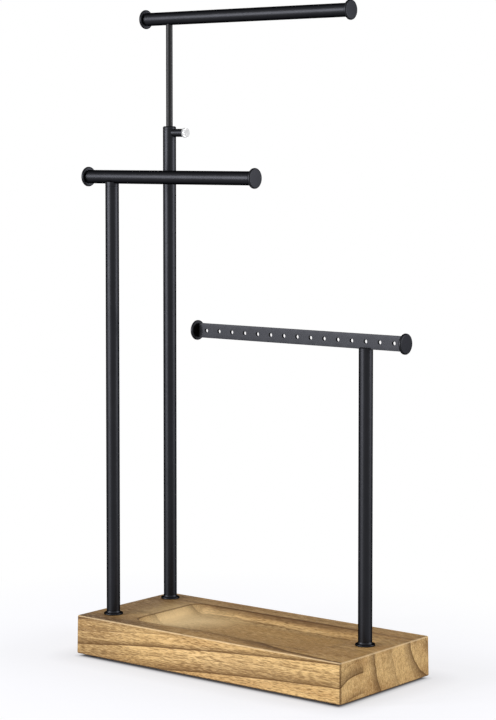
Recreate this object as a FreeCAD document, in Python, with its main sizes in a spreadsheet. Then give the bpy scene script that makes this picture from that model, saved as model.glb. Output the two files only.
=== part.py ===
"""Three-tier jewellery stand: a routed wood block, three tube posts, two T-bars and an earring strip.

Frame: the origin is on the floor under the middle of the block, +X along the block's long side to
the right, +Y to the back, +Z up.  All sizes are in millimetres and live in the sheet called sizes.
"""
import FreeCAD, Part
import math
import os
import re

import Sketcher

Vector = FreeCAD.Vector
Rotation = FreeCAD.Rotation

# ---------------------------------------------------------------- driving sizes

SIZES = {
    # wood block
    "block_length": 250,
    "block_width": 110,
    "block_thick": 29.2,
    "block_draft_deg": 1,
    "block_corner_round": 2,
    "block_edge_round": 1.4,
    "block_bottom_bevel": 0.8,
    # tray routed in the block's top
    "tray_left": -82,
    "tray_right": 88,
    "tray_front": -39,
    "tray_back": 37.5,
    "tray_depth": 7,
    "tray_corner_round": 10.5,
    "tray_wall_run": 6.5,
    "tray_cove_round": 7,
    "tray_rim_round": 0.8,
    # pads under the block
    "pad_dia": 11,
    "pad_height": 2,
    "pad_bevel": 0.5,
    "pad_from_end": 12,
    "pad_from_side": 8.5,
    # where the posts stand
    "tall_from_end": 14.6,
    "tall_from_back": 17,
    "middle_from_end": 19,
    "middle_from_front": 21.3,
    "earring_from_end": 19.3,
    "earring_off_centre": 0.8,
    # tubes and what plugs into them
    "tube_dia": 10.3,
    "tube_wall": 1,
    "plug_gap": 0.05,
    "plug_lead": 0.6,
    # flange plugs at the posts' feet, with the screws that hold them
    "flange_dia": 14.6,
    "flange_rim": 1.4,
    "flange_rim_round": 0.6,
    "flange_flare": 1.5,
    "flange_waist_dia": 11.4,
    "foot_plug_length": 16,
    "thread_dia": 4,
    "thread_gap": 0.05,
    "thread_run_out": 2,
    "screw_reach": 13,
    "screw_head_dia": 7.6,
    "screw_head_height": 2.6,
    "screw_head_round": 0.8,
    "screw_tip_bevel": 0.5,
    "socket_width": 3,
    "socket_depth": 1.5,
    "washer_dia": 10.5,
    "washer_thick": 1,
    "counterbore_dia": 12,
    "counterbore_depth": 8,
    "screw_hole_dia": 4.6,
    # tall post and its sliding rod
    "tall_post_top": 404,
    "guide_head": 2.6,
    "guide_head_round": 1.2,
    "guide_length": 12,
    "rod_dia": 5.2,
    "rod_gap": 0.05,
    "raise_left": 39.9,
    "rod_in_bar": 6,
    "rod_bevel": 0.4,
    "journal_dia": 4,
    "journal_gap": 0.05,
    "bush_length": 12,
    "bush_gap": 0.08,
    "bush_bevel": 0.5,
    "bush_end_play": 0.1,
    "end_screw_dia": 2.5,
    "end_screw_depth": 6,
    "end_screw_run_out": 1,
    "end_screw_head_dia": 5.5,
    "end_screw_head_height": 1.6,
    "end_screw_head_round": 0.5,
    # clamp boss and thumb screw
    "clamp_below_top": 5.2,
    "weld_gap": 0.02,
    "boss_dia": 6.3,
    "boss_reach": 14.6,
    "boss_bevel": 0.3,
    "clamp_thread_dia": 3,
    "clamp_thread_gap": 0.05,
    "knob_dia": 7.4,
    "knob_thick": 2.8,
    "knob_gap": 0.3,
    "knob_bevel": 0.35,
    "knurl_count": 24,
    "knurl_dia": 0.55,
    "tip_gap": 0.08,
    "tip_dia": 2.6,
    "tip_thick": 1,
    "tip_stem_dia": 1.4,
    "tip_stem_length": 1.6,
    "tip_stem_gap": 0.05,
    "tip_play": 0.03,
    # bars with their round end caps
    "cap_dia": 15,
    "cap_thick": 2.4,
    "cap_rim_round": 1,
    "cap_plug_length": 8,
    "top_bar_height": 488,
    "top_bar_left": 25.3,
    "top_bar_right": 176,
    "middle_bar_height": 365.2,
    "middle_bar_left": 25.3,
    "middle_bar_right": 139.1,
    "saddle_rise": 1.3,
    "saddle_body": 2,
    "saddle_gap": 0.03,
    "saddle_plug_length": 12,
    # earring strip
    "strip_height": 249.6,
    "strip_tall": 10.9,
    "strip_thick": 2,
    "strip_left": 157.4,
    "strip_right": 35.2,
    "strip_tenon": 1.3,
    "strip_seat_gap": 0.05,
    "strip_edge_bevel": 0.25,
    "earring_hole_dia": 2.9,
    "earring_hole_pitch": 12.26,
    "earring_hole_count": 15,
    "post_cap_head": 1.8,
    "post_cap_round": 0.5,
    "post_cap_slot": 1,
    "post_cap_plug_length": 12,
}

# ---------------------------------------------------------------- places worked out from the sizes

BLOCK_TOP = "(pad_height + block_thick)"
TALL_X = "(tall_from_end - block_length / 2)"
TALL_Y = "(block_width / 2 - tall_from_back)"
MIDDLE_X = "(middle_from_end - block_length / 2)"
MIDDLE_Y = "(middle_from_front - block_width / 2)"
EARRING_X = "(block_length / 2 - earring_from_end)"
EARRING_Y = "earring_off_centre"

TUBE_R = "(tube_dia / 2)"
BORE_R = "(tube_dia / 2 - tube_wall)"
PLUG_R = "(tube_dia / 2 - tube_wall - plug_gap)"
FLANGE_TOP = "(flange_rim + flange_flare)"
TUBE_FOOT = f"({BLOCK_TOP} + {FLANGE_TOP})"

SCREW_SEAT = "(pad_height + counterbore_depth)"
THREAD_HOLE_R = "(thread_dia / 2 + thread_gap)"

CLAMP_HEIGHT = "(tall_post_top - clamp_below_top)"
ROD_TOP = f"(top_bar_height - {TUBE_R} + rod_in_bar)"
GUIDE_END = "(tall_post_top - guide_head - guide_length)"
ROD_FOOT = f"({GUIDE_END} - raise_left - bush_length - bush_end_play)"
ROD_LENGTH = f"({ROD_TOP} - {ROD_FOOT})"
JOURNAL_LENGTH = "(bush_length + 2 * bush_end_play)"
GUIDE_BORE_R = "(rod_dia / 2 + rod_gap)"
TIP_FACE = "(rod_dia / 2 + tip_gap)"
SHANK_TIP = f"({TIP_FACE} + tip_thick + tip_play)"
KNOB_FACE = "(boss_reach + knob_gap)"
CLAMP_HOLE_R = "(clamp_thread_dia / 2 + clamp_thread_gap)"

MIDDLE_POST_TOP = f"(middle_bar_height - {TUBE_R} - saddle_body)"
STRIP_BOTTOM = "(strip_height - strip_tall / 2)"
EARRING_POST_TOP = f"({STRIP_BOTTOM} + post_cap_slot - post_cap_head)"

# ---------------------------------------------------------------- document and sheet

doc = FreeCAD.newDocument("jewellery_stand")
sheet = doc.addObject("Spreadsheet::Sheet", "sizes")
for row, (alias, number) in enumerate(SIZES.items(), start=1):
    sheet.set(f"A{row}", alias)
    sheet.set(f"B{row}", str(number))
    sheet.setAlias(f"B{row}", alias)
doc.recompute()

PIECES = []


def sized(text):
    """Write an expression's aliases in full, as the sheet's own names."""

    def in_sheet(word):
        return "sizes." + word.group() if word.group() in SIZES else word.group()

    return re.sub(r"[a-z_]+", in_sheet, text)


def value(text):
    """The present number of an expression."""
    return float(sheet.evalExpression(text))


def place(piece, x="0", y="0", z="0"):
    """Tie a piece's place to the sheet."""
    for letter, text in (("x", x), ("y", y), ("z", z)):
        piece.setExpression(f"Placement.Base.{letter}", sized(text))


def new_body(label, x="0", y="0", z="0", turn=0):
    """A body at a place, turned about its own upright axis by so many degrees."""
    body = doc.addObject("PartDesign::Body", label)
    body.Label = label
    body.Placement = FreeCAD.Placement(Vector(), Rotation(Vector(0, 0, 1), turn))
    place(body, x, y, z)
    PIECES.append(body)
    return body


def new_sketch(body, name, plane):
    """An empty sketch on one of the body's own origin planes."""
    sketch = body.newObject("Sketcher::SketchObject", name)
    support = [item for item in body.Origin.OriginFeatures if item.Role == plane][0]
    sketch.AttachmentSupport = [(support, "")]
    sketch.MapMode = "FlatFace"
    return sketch


def tie(sketch, kind, *terms):
    """Add a constraint whose last term is an expression."""
    number = sketch.addConstraint(Sketcher.Constraint(kind, *terms[:-1], value(terms[-1])))
    sketch.setExpression(f"Constraints[{number}]", sized(terms[-1]))


def pin_point(sketch, element, end, across, up):
    """Hold one point of a sketch at a pair of expressions; "0" puts it on the axis."""
    if across == "0":
        sketch.addConstraint(Sketcher.Constraint("PointOnObject", element, end, -2))
    else:
        tie(sketch, "DistanceX", -1, 1, element, end, across)
    if up == "0":
        sketch.addConstraint(Sketcher.Constraint("PointOnObject", element, end, -1))
    else:
        tie(sketch, "DistanceY", -1, 1, element, end, up)


def outline(body, name, plane, corners):
    """A closed outline of straight edges through corners given as pairs of expressions."""
    sketch = new_sketch(body, name, plane)
    spots = [Vector(value(across), value(up), 0) for across, up in corners]
    count = len(spots)
    for number in range(count):
        sketch.addGeometry(Part.LineSegment(spots[number], spots[(number + 1) % count]), False)
    for number in range(count):
        sketch.addConstraint(Sketcher.Constraint("Coincident", number, 2, (number + 1) % count, 1))
    for number, (across, up) in enumerate(corners):
        pin_point(sketch, number, 1, across, up)
    return sketch


def circles(body, name, plane, rings):
    """A sketch of circles, each given as centre across, centre up and radius."""
    sketch = new_sketch(body, name, plane)
    for number, (across, up, radius) in enumerate(rings):
        centre = Vector(value(across), value(up), 0)
        sketch.addGeometry(Part.Circle(centre, Vector(0, 0, 1), value(radius)), False)
        tie(sketch, "Radius", number, radius)
        if across == "0" and up == "0":
            sketch.addConstraint(Sketcher.Constraint("Coincident", number, 3, -1, 1))
        else:
            pin_point(sketch, number, 3, across, up)
    return sketch


def revolve(body, sketch, axis):
    """Turn an outline a full circle about one axis of its sketch."""
    solid = body.newObject("PartDesign::Revolution", sketch.Name + "_turned")
    solid.Profile = sketch
    solid.ReferenceAxis = (sketch, [axis])
    solid.Angle = 360
    return solid


def turned(label, corners, x="0", y="0", z="0"):
    """A turned piece on an upright axis, from its half section in (radius, height) corners."""
    body = new_body(label, x, y, z)
    revolve(body, outline(body, label + "_section", "XZ_Plane", corners), "V_Axis")
    doc.recompute()
    return body


def turned_along(label, corners, x="0", y="0", z="0", turn=0):
    """A turned piece on the X axis, from its half section in (along, radius) corners."""
    body = new_body(label, x, y, z, turn)
    revolve(body, outline(body, label + "_section", "XZ_Plane", corners), "H_Axis")
    doc.recompute()
    return body


def pad(body, sketch, length, draft=None):
    """Raise a sketch along its normal."""
    solid = body.newObject("PartDesign::Pad", sketch.Name + "_pad")
    solid.Profile = sketch
    solid.setExpression("Length", sized(length))
    if draft:
        solid.setExpression("TaperAngle", sized(draft))
    doc.recompute()
    return solid


def cut(body, sketch, depth, reverse=False, both_ways=False):
    """Pocket a sketch and make sure that it took wood or metal away."""
    before = body.Shape.Volume
    pocket = body.newObject("PartDesign::Pocket", sketch.Name + "_cut")
    pocket.Profile = sketch
    pocket.Midplane = both_ways
    pocket.Reversed = reverse
    pocket.setExpression("Length", sized(depth))
    doc.recompute()
    if body.Shape.Volume >= before - 1e-6:
        raise RuntimeError(sketch.Name + " cuts nothing")
    return pocket


def edge_names(body, wanted):
    """Names of the tip's edges that pass a test."""
    return [f"Edge{number}" for number, edge in enumerate(body.Tip.Shape.Edges, start=1) if wanted(edge)]


def soften(body, name, kind, size, wanted):
    """Fillet or chamfer the tip's edges that pass a test."""
    names = edge_names(body, wanted)
    if not names:
        raise RuntimeError(name + " finds no edge")
    base = body.Tip
    feature = body.newObject("PartDesign::" + kind, name)
    feature.Base = (base, names)
    feature.setExpression("Radius" if kind == "Fillet" else "Size", sized(size))
    body.Tip = feature
    doc.recompute()
    return feature


def is_ring(edge, radius, across=None, axis="z"):
    """True for a full circle of a radius, at a height or a place along an axis in the body's own frame."""
    if not isinstance(edge.Curve, Part.Circle) or not edge.isClosed():
        return False
    at_place = across is None or abs(getattr(edge.Curve.Center, axis) - value(across)) < 1e-4
    return at_place and abs(edge.Curve.Radius - value(radius)) < 1e-4


# ---------------------------------------------------------------- wood block and pads

def rounded_box(body, name, left, right, front, back, radius, height=None):
    """A rectangle with round corners, on the block's floor plane or at a height above it."""
    sketch = new_sketch(body, name, "XY_Plane")
    if height:
        sketch.setExpression("AttachmentOffset.Base.z", sized(height))
    x_low, x_high, y_low, y_high, bend = (value(text) for text in (left, right, front, back, radius))
    sides = [
        (x_low + bend, y_low, x_high - bend, y_low),
        (x_high, y_low + bend, x_high, y_high - bend),
        (x_high - bend, y_high, x_low + bend, y_high),
        (x_low, y_high - bend, x_low, y_low + bend),
    ]
    centres = [
        (x_high - bend, y_low + bend),
        (x_high - bend, y_high - bend),
        (x_low + bend, y_high - bend),
        (x_low + bend, y_low + bend),
    ]
    for x_start, y_start, x_end, y_end in sides:
        sketch.addGeometry(Part.LineSegment(Vector(x_start, y_start, 0), Vector(x_end, y_end, 0)), False)
    for number, (x_mid, y_mid) in enumerate(centres):
        start = math.radians(90 * number - 90)
        ring = Part.Circle(Vector(x_mid, y_mid, 0), Vector(0, 0, 1), bend)
        sketch.addGeometry(Part.ArcOfCircle(ring, start, start + math.pi / 2), False)
    for number in range(4):
        arc = number + 4
        sketch.addConstraint(Sketcher.Constraint("Tangent", number, 2, arc, 1))
        sketch.addConstraint(Sketcher.Constraint("Tangent", arc, 2, (number + 1) % 4, 1))
        sketch.addConstraint(Sketcher.Constraint("Horizontal" if number % 2 == 0 else "Vertical", number))
    for number in range(3):
        sketch.addConstraint(Sketcher.Constraint("Equal", 4, number + 5))
    tie(sketch, "Radius", 4, radius)
    tie(sketch, "DistanceY", -1, 1, 0, 1, front)
    tie(sketch, "DistanceX", -1, 1, 1, 1, right)
    tie(sketch, "DistanceY", -1, 1, 2, 1, back)
    tie(sketch, "DistanceX", -1, 1, 3, 1, left)
    return sketch


def make_block():
    """The block: drafted sides, routed tray with coved walls, three counterbored screw holes."""
    body = new_body("wood_base", z="pad_height")
    half_long = "(block_length / 2)"
    half_wide = "(block_width / 2)"
    plan = rounded_box(body, "block_plan", f"-{half_long}", half_long, f"-{half_wide}", half_wide,
                       "block_corner_round")
    pad(body, plan, "block_thick", draft="-block_draft_deg")

    top = value("block_thick")
    soften(body, "block_top_round", "Fillet", "block_edge_round",
           lambda edge: all(abs(point.Point.z - top) < 1e-4 for point in edge.Vertexes))
    soften(body, "block_bottom_bevel_cut", "Chamfer", "block_bottom_bevel",
           lambda edge: all(abs(point.Point.z) < 1e-4 for point in edge.Vertexes))

    rim = rounded_box(body, "tray_rim", "tray_left", "tray_right", "tray_front", "tray_back",
                      "tray_corner_round", height="block_thick")
    floor = rounded_box(body, "tray_floor", "tray_left + tray_wall_run", "tray_right - tray_wall_run",
                        "tray_front + tray_wall_run", "tray_back - tray_wall_run",
                        "tray_corner_round - tray_wall_run", height="block_thick - tray_depth")
    before = body.Shape.Volume
    tray = body.newObject("PartDesign::SubtractiveLoft", "tray")
    tray.Profile = rim
    tray.Sections = [floor]
    tray.Ruled = True
    doc.recompute()
    if body.Shape.Volume >= before - 1:
        raise RuntimeError("the tray cuts nothing")
    floor_level = value("block_thick - tray_depth")
    soften(body, "tray_cove", "Fillet", "tray_cove_round",
           lambda edge: all(abs(point.Point.z - floor_level) < 1e-4 for point in edge.Vertexes))
    rim_left = value("tray_left") - 1e-3
    rim_right = value("tray_right") + 1e-3
    soften(body, "tray_rim_soft", "Fillet", "tray_rim_round",
           lambda edge: all(abs(point.Point.z - top) < 1e-4 and rim_left <= point.Point.x <= rim_right
                            and value("tray_front") - 1e-3 <= point.Point.y <= value("tray_back") + 1e-3
                            for point in edge.Vertexes))

    posts = ((TALL_X, TALL_Y), (MIDDLE_X, MIDDLE_Y), (EARRING_X, EARRING_Y))
    bores = circles(body, "counterbores", "XY_Plane", [(x, y, "counterbore_dia / 2") for x, y in posts])
    cut(body, bores, "counterbore_depth", reverse=True)
    holes = circles(body, "screw_holes", "XY_Plane", [(x, y, "screw_hole_dia / 2") for x, y in posts])
    cut(body, holes, "block_thick", reverse=True)
    return body


def make_pads():
    """Four stuck-on pads, one near each corner of the block."""
    for end, end_sign in (("left", "-"), ("right", "")):
        for side, side_sign in (("front", "-"), ("back", "")):
            pad_piece = turned(
                f"{side}_{end}_foot",
                [("0", "0"), ("pad_dia / 2", "0"), ("pad_dia / 2", "pad_height"), ("0", "pad_height")],
                x=f"{end_sign}(block_length / 2 - pad_from_end)",
                y=f"{side_sign}(block_width / 2 - pad_from_side)",
            )
            soften(pad_piece, f"{side}_{end}_foot_bevel", "Chamfer", "pad_bevel",
                   lambda edge: is_ring(edge, "pad_dia / 2", "0"))


# ---------------------------------------------------------------- posts and their fixings

def make_tube(label, x, y, foot, top):
    """An upright tube between two heights."""
    body = new_body(label, x, y, foot)
    rings = circles(body, label + "_rings", "XY_Plane", [("0", "0", TUBE_R), ("0", "0", BORE_R)])
    pad(body, rings, f"{top} - {foot}")
    return body


def make_foot_plug(label, x, y):
    """The flared flange that stands on the block, with a plug up the tube and a blind thread below."""
    thread_end = "(screw_reach + thread_run_out)"
    plug_top = f"({FLANGE_TOP} + foot_plug_length)"
    body = turned(label, [
        (THREAD_HOLE_R, "0"),
        ("flange_dia / 2", "0"),
        ("flange_dia / 2", "flange_rim"),
        ("flange_waist_dia / 2", "flange_rim"),
        (TUBE_R, FLANGE_TOP),
        (PLUG_R, FLANGE_TOP),
        (PLUG_R, f"{plug_top} - plug_lead"),
        (f"{PLUG_R} - plug_lead", plug_top),
        ("0", plug_top),
        ("0", thread_end),
        (THREAD_HOLE_R, thread_end),
    ], x, y, BLOCK_TOP)
    soften(body, label + "_rim", "Fillet", "flange_rim_round",
           lambda edge: is_ring(edge, "flange_dia / 2", "flange_rim"))
    return body


def make_post_screw(label, x, y):
    """A socket-head screw that comes up through the washer and the block into the flange plug."""
    seat = f"({SCREW_SEAT} - washer_thick)"
    tip = f"({BLOCK_TOP} + screw_reach - {seat})"
    body = turned(label, [
        ("0", "-screw_head_height"),
        ("screw_head_dia / 2", "-screw_head_height"),
        ("screw_head_dia / 2", "0"),
        ("thread_dia / 2", "0"),
        ("thread_dia / 2", f"{tip} - screw_tip_bevel"),
        ("thread_dia / 2 - screw_tip_bevel", tip),
        ("0", tip),
    ], x, y, seat)
    soften(body, label + "_head_round", "Fillet", "screw_head_round",
           lambda edge: is_ring(edge, "screw_head_dia / 2", "-screw_head_height"))
    corner_reach = "socket_width / sqrt(3)"
    corners = [(f"{corner_reach} * cos({angle} deg)", f"{corner_reach} * sin({angle} deg)")
               for angle in range(30, 390, 60)]
    socket = outline(body, label + "_socket", "XY_Plane", corners)
    socket.setExpression("AttachmentOffset.Base.z", sized("-screw_head_height"))
    cut(body, socket, "socket_depth", reverse=True)
    return body


def make_washer(label, x, y):
    """A flat washer under a post screw's head."""
    return turned(label, [
        ("screw_hole_dia / 2", "0"),
        ("washer_dia / 2", "0"),
        ("washer_dia / 2", "washer_thick"),
        ("screw_hole_dia / 2", "washer_thick"),
    ], x, y, f"({SCREW_SEAT} - washer_thick)")


def make_posts():
    """The three posts: tube, flange plug, washer and screw each."""
    posts = (
        ("tall", TALL_X, TALL_Y, "(tall_post_top - guide_head)"),
        ("middle", MIDDLE_X, MIDDLE_Y, MIDDLE_POST_TOP),
        ("earring", EARRING_X, EARRING_Y, EARRING_POST_TOP),
    )
    tubes = {}
    for name, x, y, top in posts:
        tubes[name] = make_tube(f"{name}_post_tube", x, y, TUBE_FOOT, top)
        make_foot_plug(f"{name}_post_foot", x, y)
        make_post_screw(f"{name}_post_screw", x, y)
        make_washer(f"{name}_post_washer", x, y)
    side_hole = circles(tubes["tall"], "clamp_hole_in_tube", "YZ_Plane",
                        [("0", f"{CLAMP_HEIGHT} - {TUBE_FOOT}", CLAMP_HOLE_R)])
    cut(tubes["tall"], side_hole, "tube_dia", reverse=True)


# ---------------------------------------------------------------- telescoping rod and its clamp

def make_guide():
    """The rounded end piece of the tall tube: the rod runs in its bore, the clamp crosses its plug."""
    plug_end = "(-guide_head - guide_length)"
    body = turned("tall_post_guide", [
        (GUIDE_BORE_R, plug_end),
        (f"{PLUG_R} - plug_lead", plug_end),
        (PLUG_R, f"{plug_end} + plug_lead"),
        (PLUG_R, "-guide_head"),
        (TUBE_R, "-guide_head"),
        (TUBE_R, "0"),
        (GUIDE_BORE_R, "0"),
    ], TALL_X, TALL_Y, "tall_post_top")
    soften(body, "guide_top_round", "Fillet", "guide_head_round", lambda edge: is_ring(edge, TUBE_R, "0"))
    side_hole = circles(body, "clamp_hole_in_guide", "YZ_Plane", [("0", "-clamp_below_top", CLAMP_HOLE_R)])
    cut(body, side_hole, "tube_dia", reverse=True)


def make_rod():
    """The sliding rod, its lower sleeve and the screw that keeps the sleeve on."""
    hole_r = "(end_screw_dia / 2 + thread_gap)"
    rod = turned("extension_rod", [
        (hole_r, "0"),
        ("journal_dia / 2", "0"),
        ("journal_dia / 2", JOURNAL_LENGTH),
        ("rod_dia / 2", JOURNAL_LENGTH),
        ("rod_dia / 2", f"{ROD_LENGTH} - rod_bevel"),
        ("rod_dia / 2 - rod_bevel", ROD_LENGTH),
        ("0", ROD_LENGTH),
        ("0", "end_screw_depth + end_screw_run_out"),
        (hole_r, "end_screw_depth + end_screw_run_out"),
    ], TALL_X, TALL_Y, ROD_FOOT)
    sleeve_r = f"({BORE_R} - bush_gap)"
    inner_r = "(journal_dia / 2 + journal_gap)"
    bush = turned("rod_guide_bush", [
        (inner_r, "0"),
        (f"{sleeve_r} - bush_bevel", "0"),
        (sleeve_r, "bush_bevel"),
        (sleeve_r, "bush_length - bush_bevel"),
        (f"{sleeve_r} - bush_bevel", "bush_length"),
        (inner_r, "bush_length"),
    ], TALL_X, TALL_Y, f"({ROD_FOOT} + bush_end_play)")
    screw = turned("rod_end_screw", [
        ("0", "-end_screw_head_height"),
        ("end_screw_head_dia / 2", "-end_screw_head_height"),
        ("end_screw_head_dia / 2", "0"),
        ("end_screw_dia / 2", "0"),
        ("end_screw_dia / 2", "end_screw_depth"),
        ("0", "end_screw_depth"),
    ], TALL_X, TALL_Y, ROD_FOOT)
    soften(screw, "end_screw_head_round_off", "Fillet", "end_screw_head_round",
           lambda edge: is_ring(edge, "end_screw_head_dia / 2", "-end_screw_head_height"))
    return rod, bush


def make_clamp():
    """The boss on the tube's side, the knurled thumb screw in it and the soft tip that meets the rod."""
    boss = new_body("clamp_boss", TALL_X, TALL_Y, CLAMP_HEIGHT)
    rings = circles(boss, "boss_rings", "YZ_Plane", [("0", "0", "boss_dia / 2"), ("0", "0", CLAMP_HOLE_R)])
    pad(boss, rings, "boss_reach")
    soften(boss, "boss_end_bevel", "Chamfer", "boss_bevel",
           lambda edge: is_ring(edge, "boss_dia / 2", "boss_reach", "x"))
    saddle = circles(boss, "boss_saddle", "XY_Plane", [("0", "0", f"{TUBE_R} + weld_gap")])
    cut(boss, saddle, "2 * boss_dia", both_ways=True)

    socket_r = "(tip_stem_dia / 2 + tip_stem_gap)"
    socket_end = f"({SHANK_TIP} + tip_stem_length + tip_stem_gap)"
    knob_end = f"({KNOB_FACE} + knob_thick)"
    screw = turned_along("thumb_screw", [
        (SHANK_TIP, socket_r),
        (SHANK_TIP, "clamp_thread_dia / 2"),
        (KNOB_FACE, "clamp_thread_dia / 2"),
        (KNOB_FACE, "knob_dia / 2 - knob_bevel"),
        (f"{KNOB_FACE} + knob_bevel", "knob_dia / 2"),
        (f"{knob_end} - knob_bevel", "knob_dia / 2"),
        (knob_end, "knob_dia / 2 - knob_bevel"),
        (knob_end, "0"),
        (socket_end, "0"),
        (socket_end, socket_r),
    ], TALL_X, TALL_Y, CLAMP_HEIGHT)
    flute = circles(screw, "knurl_flute", "YZ_Plane", [("0", "knob_dia / 2", "knurl_dia / 2")])
    groove = cut(screw, flute, f"{knob_end} + knob_thick", reverse=True)
    knurl = screw.newObject("PartDesign::PolarPattern", "knurl")
    knurl.Originals = [groove]
    knurl.Axis = (flute, ["N_Axis"])
    knurl.Angle = 360
    knurl.setExpression("Occurrences", sized("knurl_count"))
    screw.Tip = knurl
    doc.recompute()

    tip = turned_along("thumb_screw_tip", [
        (TIP_FACE, "0"),
        (TIP_FACE, "tip_dia / 2"),
        (f"{TIP_FACE} + tip_thick", "tip_dia / 2"),
        (f"{TIP_FACE} + tip_thick", "tip_stem_dia / 2"),
        (f"{TIP_FACE} + tip_thick + tip_stem_length", "tip_stem_dia / 2"),
        (f"{TIP_FACE} + tip_thick + tip_stem_length", "0"),
    ], TALL_X, TALL_Y, CLAMP_HEIGHT)
    return boss, screw, tip


# ---------------------------------------------------------------- bars

def round_cap_rim(body, label):
    """Round both rims of an end disc."""
    soften(body, label + "_rims", "Fillet", "cap_rim_round",
           lambda edge: any(is_ring(edge, "cap_dia / 2", face, "x") for face in ("0", "cap_thick")))


def make_bar_cap(label, x, y, z, turn):
    """A turned disc with a plug that goes into the end of a bar tube."""
    body = turned_along(label, [
        ("-cap_plug_length", "0"),
        ("-cap_plug_length", f"{PLUG_R} - plug_lead"),
        ("-cap_plug_length + plug_lead", PLUG_R),
        ("0", PLUG_R),
        ("0", "cap_dia / 2"),
        ("cap_thick", "cap_dia / 2"),
        ("cap_thick", "0"),
    ], x, y, z, turn)
    round_cap_rim(body, label)
    return body


def make_bar(name, x, y, height, left, right):
    """A level tube with a cap in each end; left and right are its reach from the post's axis."""
    bar = new_body(name, f"{x} - {left} + cap_thick", y, height)
    rings = circles(bar, name + "_rings", "YZ_Plane", [("0", "0", TUBE_R), ("0", "0", BORE_R)])
    pad(bar, rings, f"{left} + {right} - 2 * cap_thick")
    make_bar_cap(f"{name}_left_cap", f"{x} - {left} + cap_thick", y, height, 180)
    make_bar_cap(f"{name}_right_cap", f"{x} + {right} - cap_thick", y, height, 0)
    return bar


def make_bars():
    """The top bar on the rod and the middle bar on its saddle."""
    top = make_bar("top_bar", TALL_X, TALL_Y, "top_bar_height", "top_bar_left", "top_bar_right")
    rod_place = ("top_bar_left - cap_thick", "0", "rod_dia / 2 + weld_gap")
    hole = circles(top, "rod_hole", "XY_Plane", [rod_place])
    cut(top, hole, "tube_dia")
    make_bar("middle_bar", MIDDLE_X, MIDDLE_Y, "middle_bar_height", "middle_bar_left", "middle_bar_right")

    head = "(saddle_body + saddle_rise)"
    saddle = turned("middle_post_saddle", [
        ("0", "-saddle_plug_length"),
        (f"{PLUG_R} - plug_lead", "-saddle_plug_length"),
        (PLUG_R, "-saddle_plug_length + plug_lead"),
        (PLUG_R, "0"),
        (TUBE_R, "0"),
        (TUBE_R, head),
        ("0", head),
    ], MIDDLE_X, MIDDLE_Y, MIDDLE_POST_TOP)
    bar_place = ("0", f"saddle_body + {TUBE_R}", f"{TUBE_R} + saddle_gap")
    hollow = circles(saddle, "bar_hollow", "YZ_Plane", [bar_place])
    cut(saddle, hollow, "2 * tube_dia", both_ways=True)


# ---------------------------------------------------------------- earring strip

def make_strip():
    """The flat strip with its row of holes, the two discs on its ends and the slotted cap it stands in."""
    strip = new_body("earring_strip", EARRING_X, EARRING_Y, "strip_height")
    left_end = "(-strip_left + cap_thick - strip_tenon)"
    right_end = "(strip_right - cap_thick + strip_tenon)"
    half_tall = "(strip_tall / 2)"
    blank = outline(strip, "strip_blank", "XZ_Plane", [
        (left_end, f"-{half_tall}"),
        (right_end, f"-{half_tall}"),
        (right_end, half_tall),
        (left_end, half_tall),
    ])
    plate = pad(strip, blank, "strip_thick")
    plate.Midplane = True
    doc.recompute()
    soften(strip, "strip_edges", "Chamfer", "strip_edge_bevel",
           lambda edge: abs(edge.Vertexes[0].X - edge.Vertexes[-1].X) > 1)
    first = "((strip_right - strip_left) / 2 - earring_hole_pitch * (earring_hole_count - 1) / 2)"
    hole = circles(strip, "first_hole", "XZ_Plane", [(first, "0", "earring_hole_dia / 2")])
    punched = cut(strip, hole, "2 * strip_thick", both_ways=True)
    row = strip.newObject("PartDesign::LinearPattern", "hole_row")
    row.Originals = [punched]
    row.Direction = (hole, ["H_Axis"])
    row.setExpression("Length", sized("earring_hole_pitch * (earring_hole_count - 1)"))
    row.setExpression("Occurrences", sized("earring_hole_count"))
    strip.Tip = row
    doc.recompute()

    for name, x, turn in (("left", f"{EARRING_X} - strip_left + cap_thick", 180),
                          ("right", f"{EARRING_X} + strip_right - cap_thick", 0)):
        label = f"earring_{name}_disc"
        disc = turned_along(label, [
            ("0", "0"),
            ("0", "cap_dia / 2"),
            ("cap_thick", "cap_dia / 2"),
            ("cap_thick", "0"),
        ], x, EARRING_Y, "strip_height", turn)
        round_cap_rim(disc, label)
        half_wide = "(strip_thick / 2 + strip_seat_gap)"
        half_slot = f"({half_tall} + strip_seat_gap)"
        slot = outline(disc, label + "_slot", "YZ_Plane", [
            (f"-{half_wide}", f"-{half_slot}"),
            (half_wide, f"-{half_slot}"),
            (half_wide, half_slot),
            (f"-{half_wide}", half_slot),
        ])
        cut(disc, slot, "strip_tenon", reverse=True)

    cap = turned("earring_post_cap", [
        ("0", "-post_cap_plug_length"),
        (f"{PLUG_R} - plug_lead", "-post_cap_plug_length"),
        (PLUG_R, "-post_cap_plug_length + plug_lead"),
        (PLUG_R, "0"),
        (TUBE_R, "0"),
        (TUBE_R, "post_cap_head"),
        ("0", "post_cap_head"),
    ], EARRING_X, EARRING_Y, EARRING_POST_TOP)
    soften(cap, "post_cap_top_round", "Fillet", "post_cap_round",
           lambda edge: is_ring(edge, TUBE_R, "post_cap_head"))
    slot_low = "(post_cap_head - post_cap_slot)"
    half_wide = "(strip_thick / 2 + strip_seat_gap)"
    slot = outline(cap, "strip_slot", "YZ_Plane", [
        (f"-{half_wide}", slot_low),
        (half_wide, slot_low),
        (half_wide, "2 * post_cap_head"),
        (f"-{half_wide}", "2 * post_cap_head"),
    ])
    cut(cap, slot, "2 * tube_dia", both_ways=True)


# ---------------------------------------------------------------- build, check and write

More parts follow.
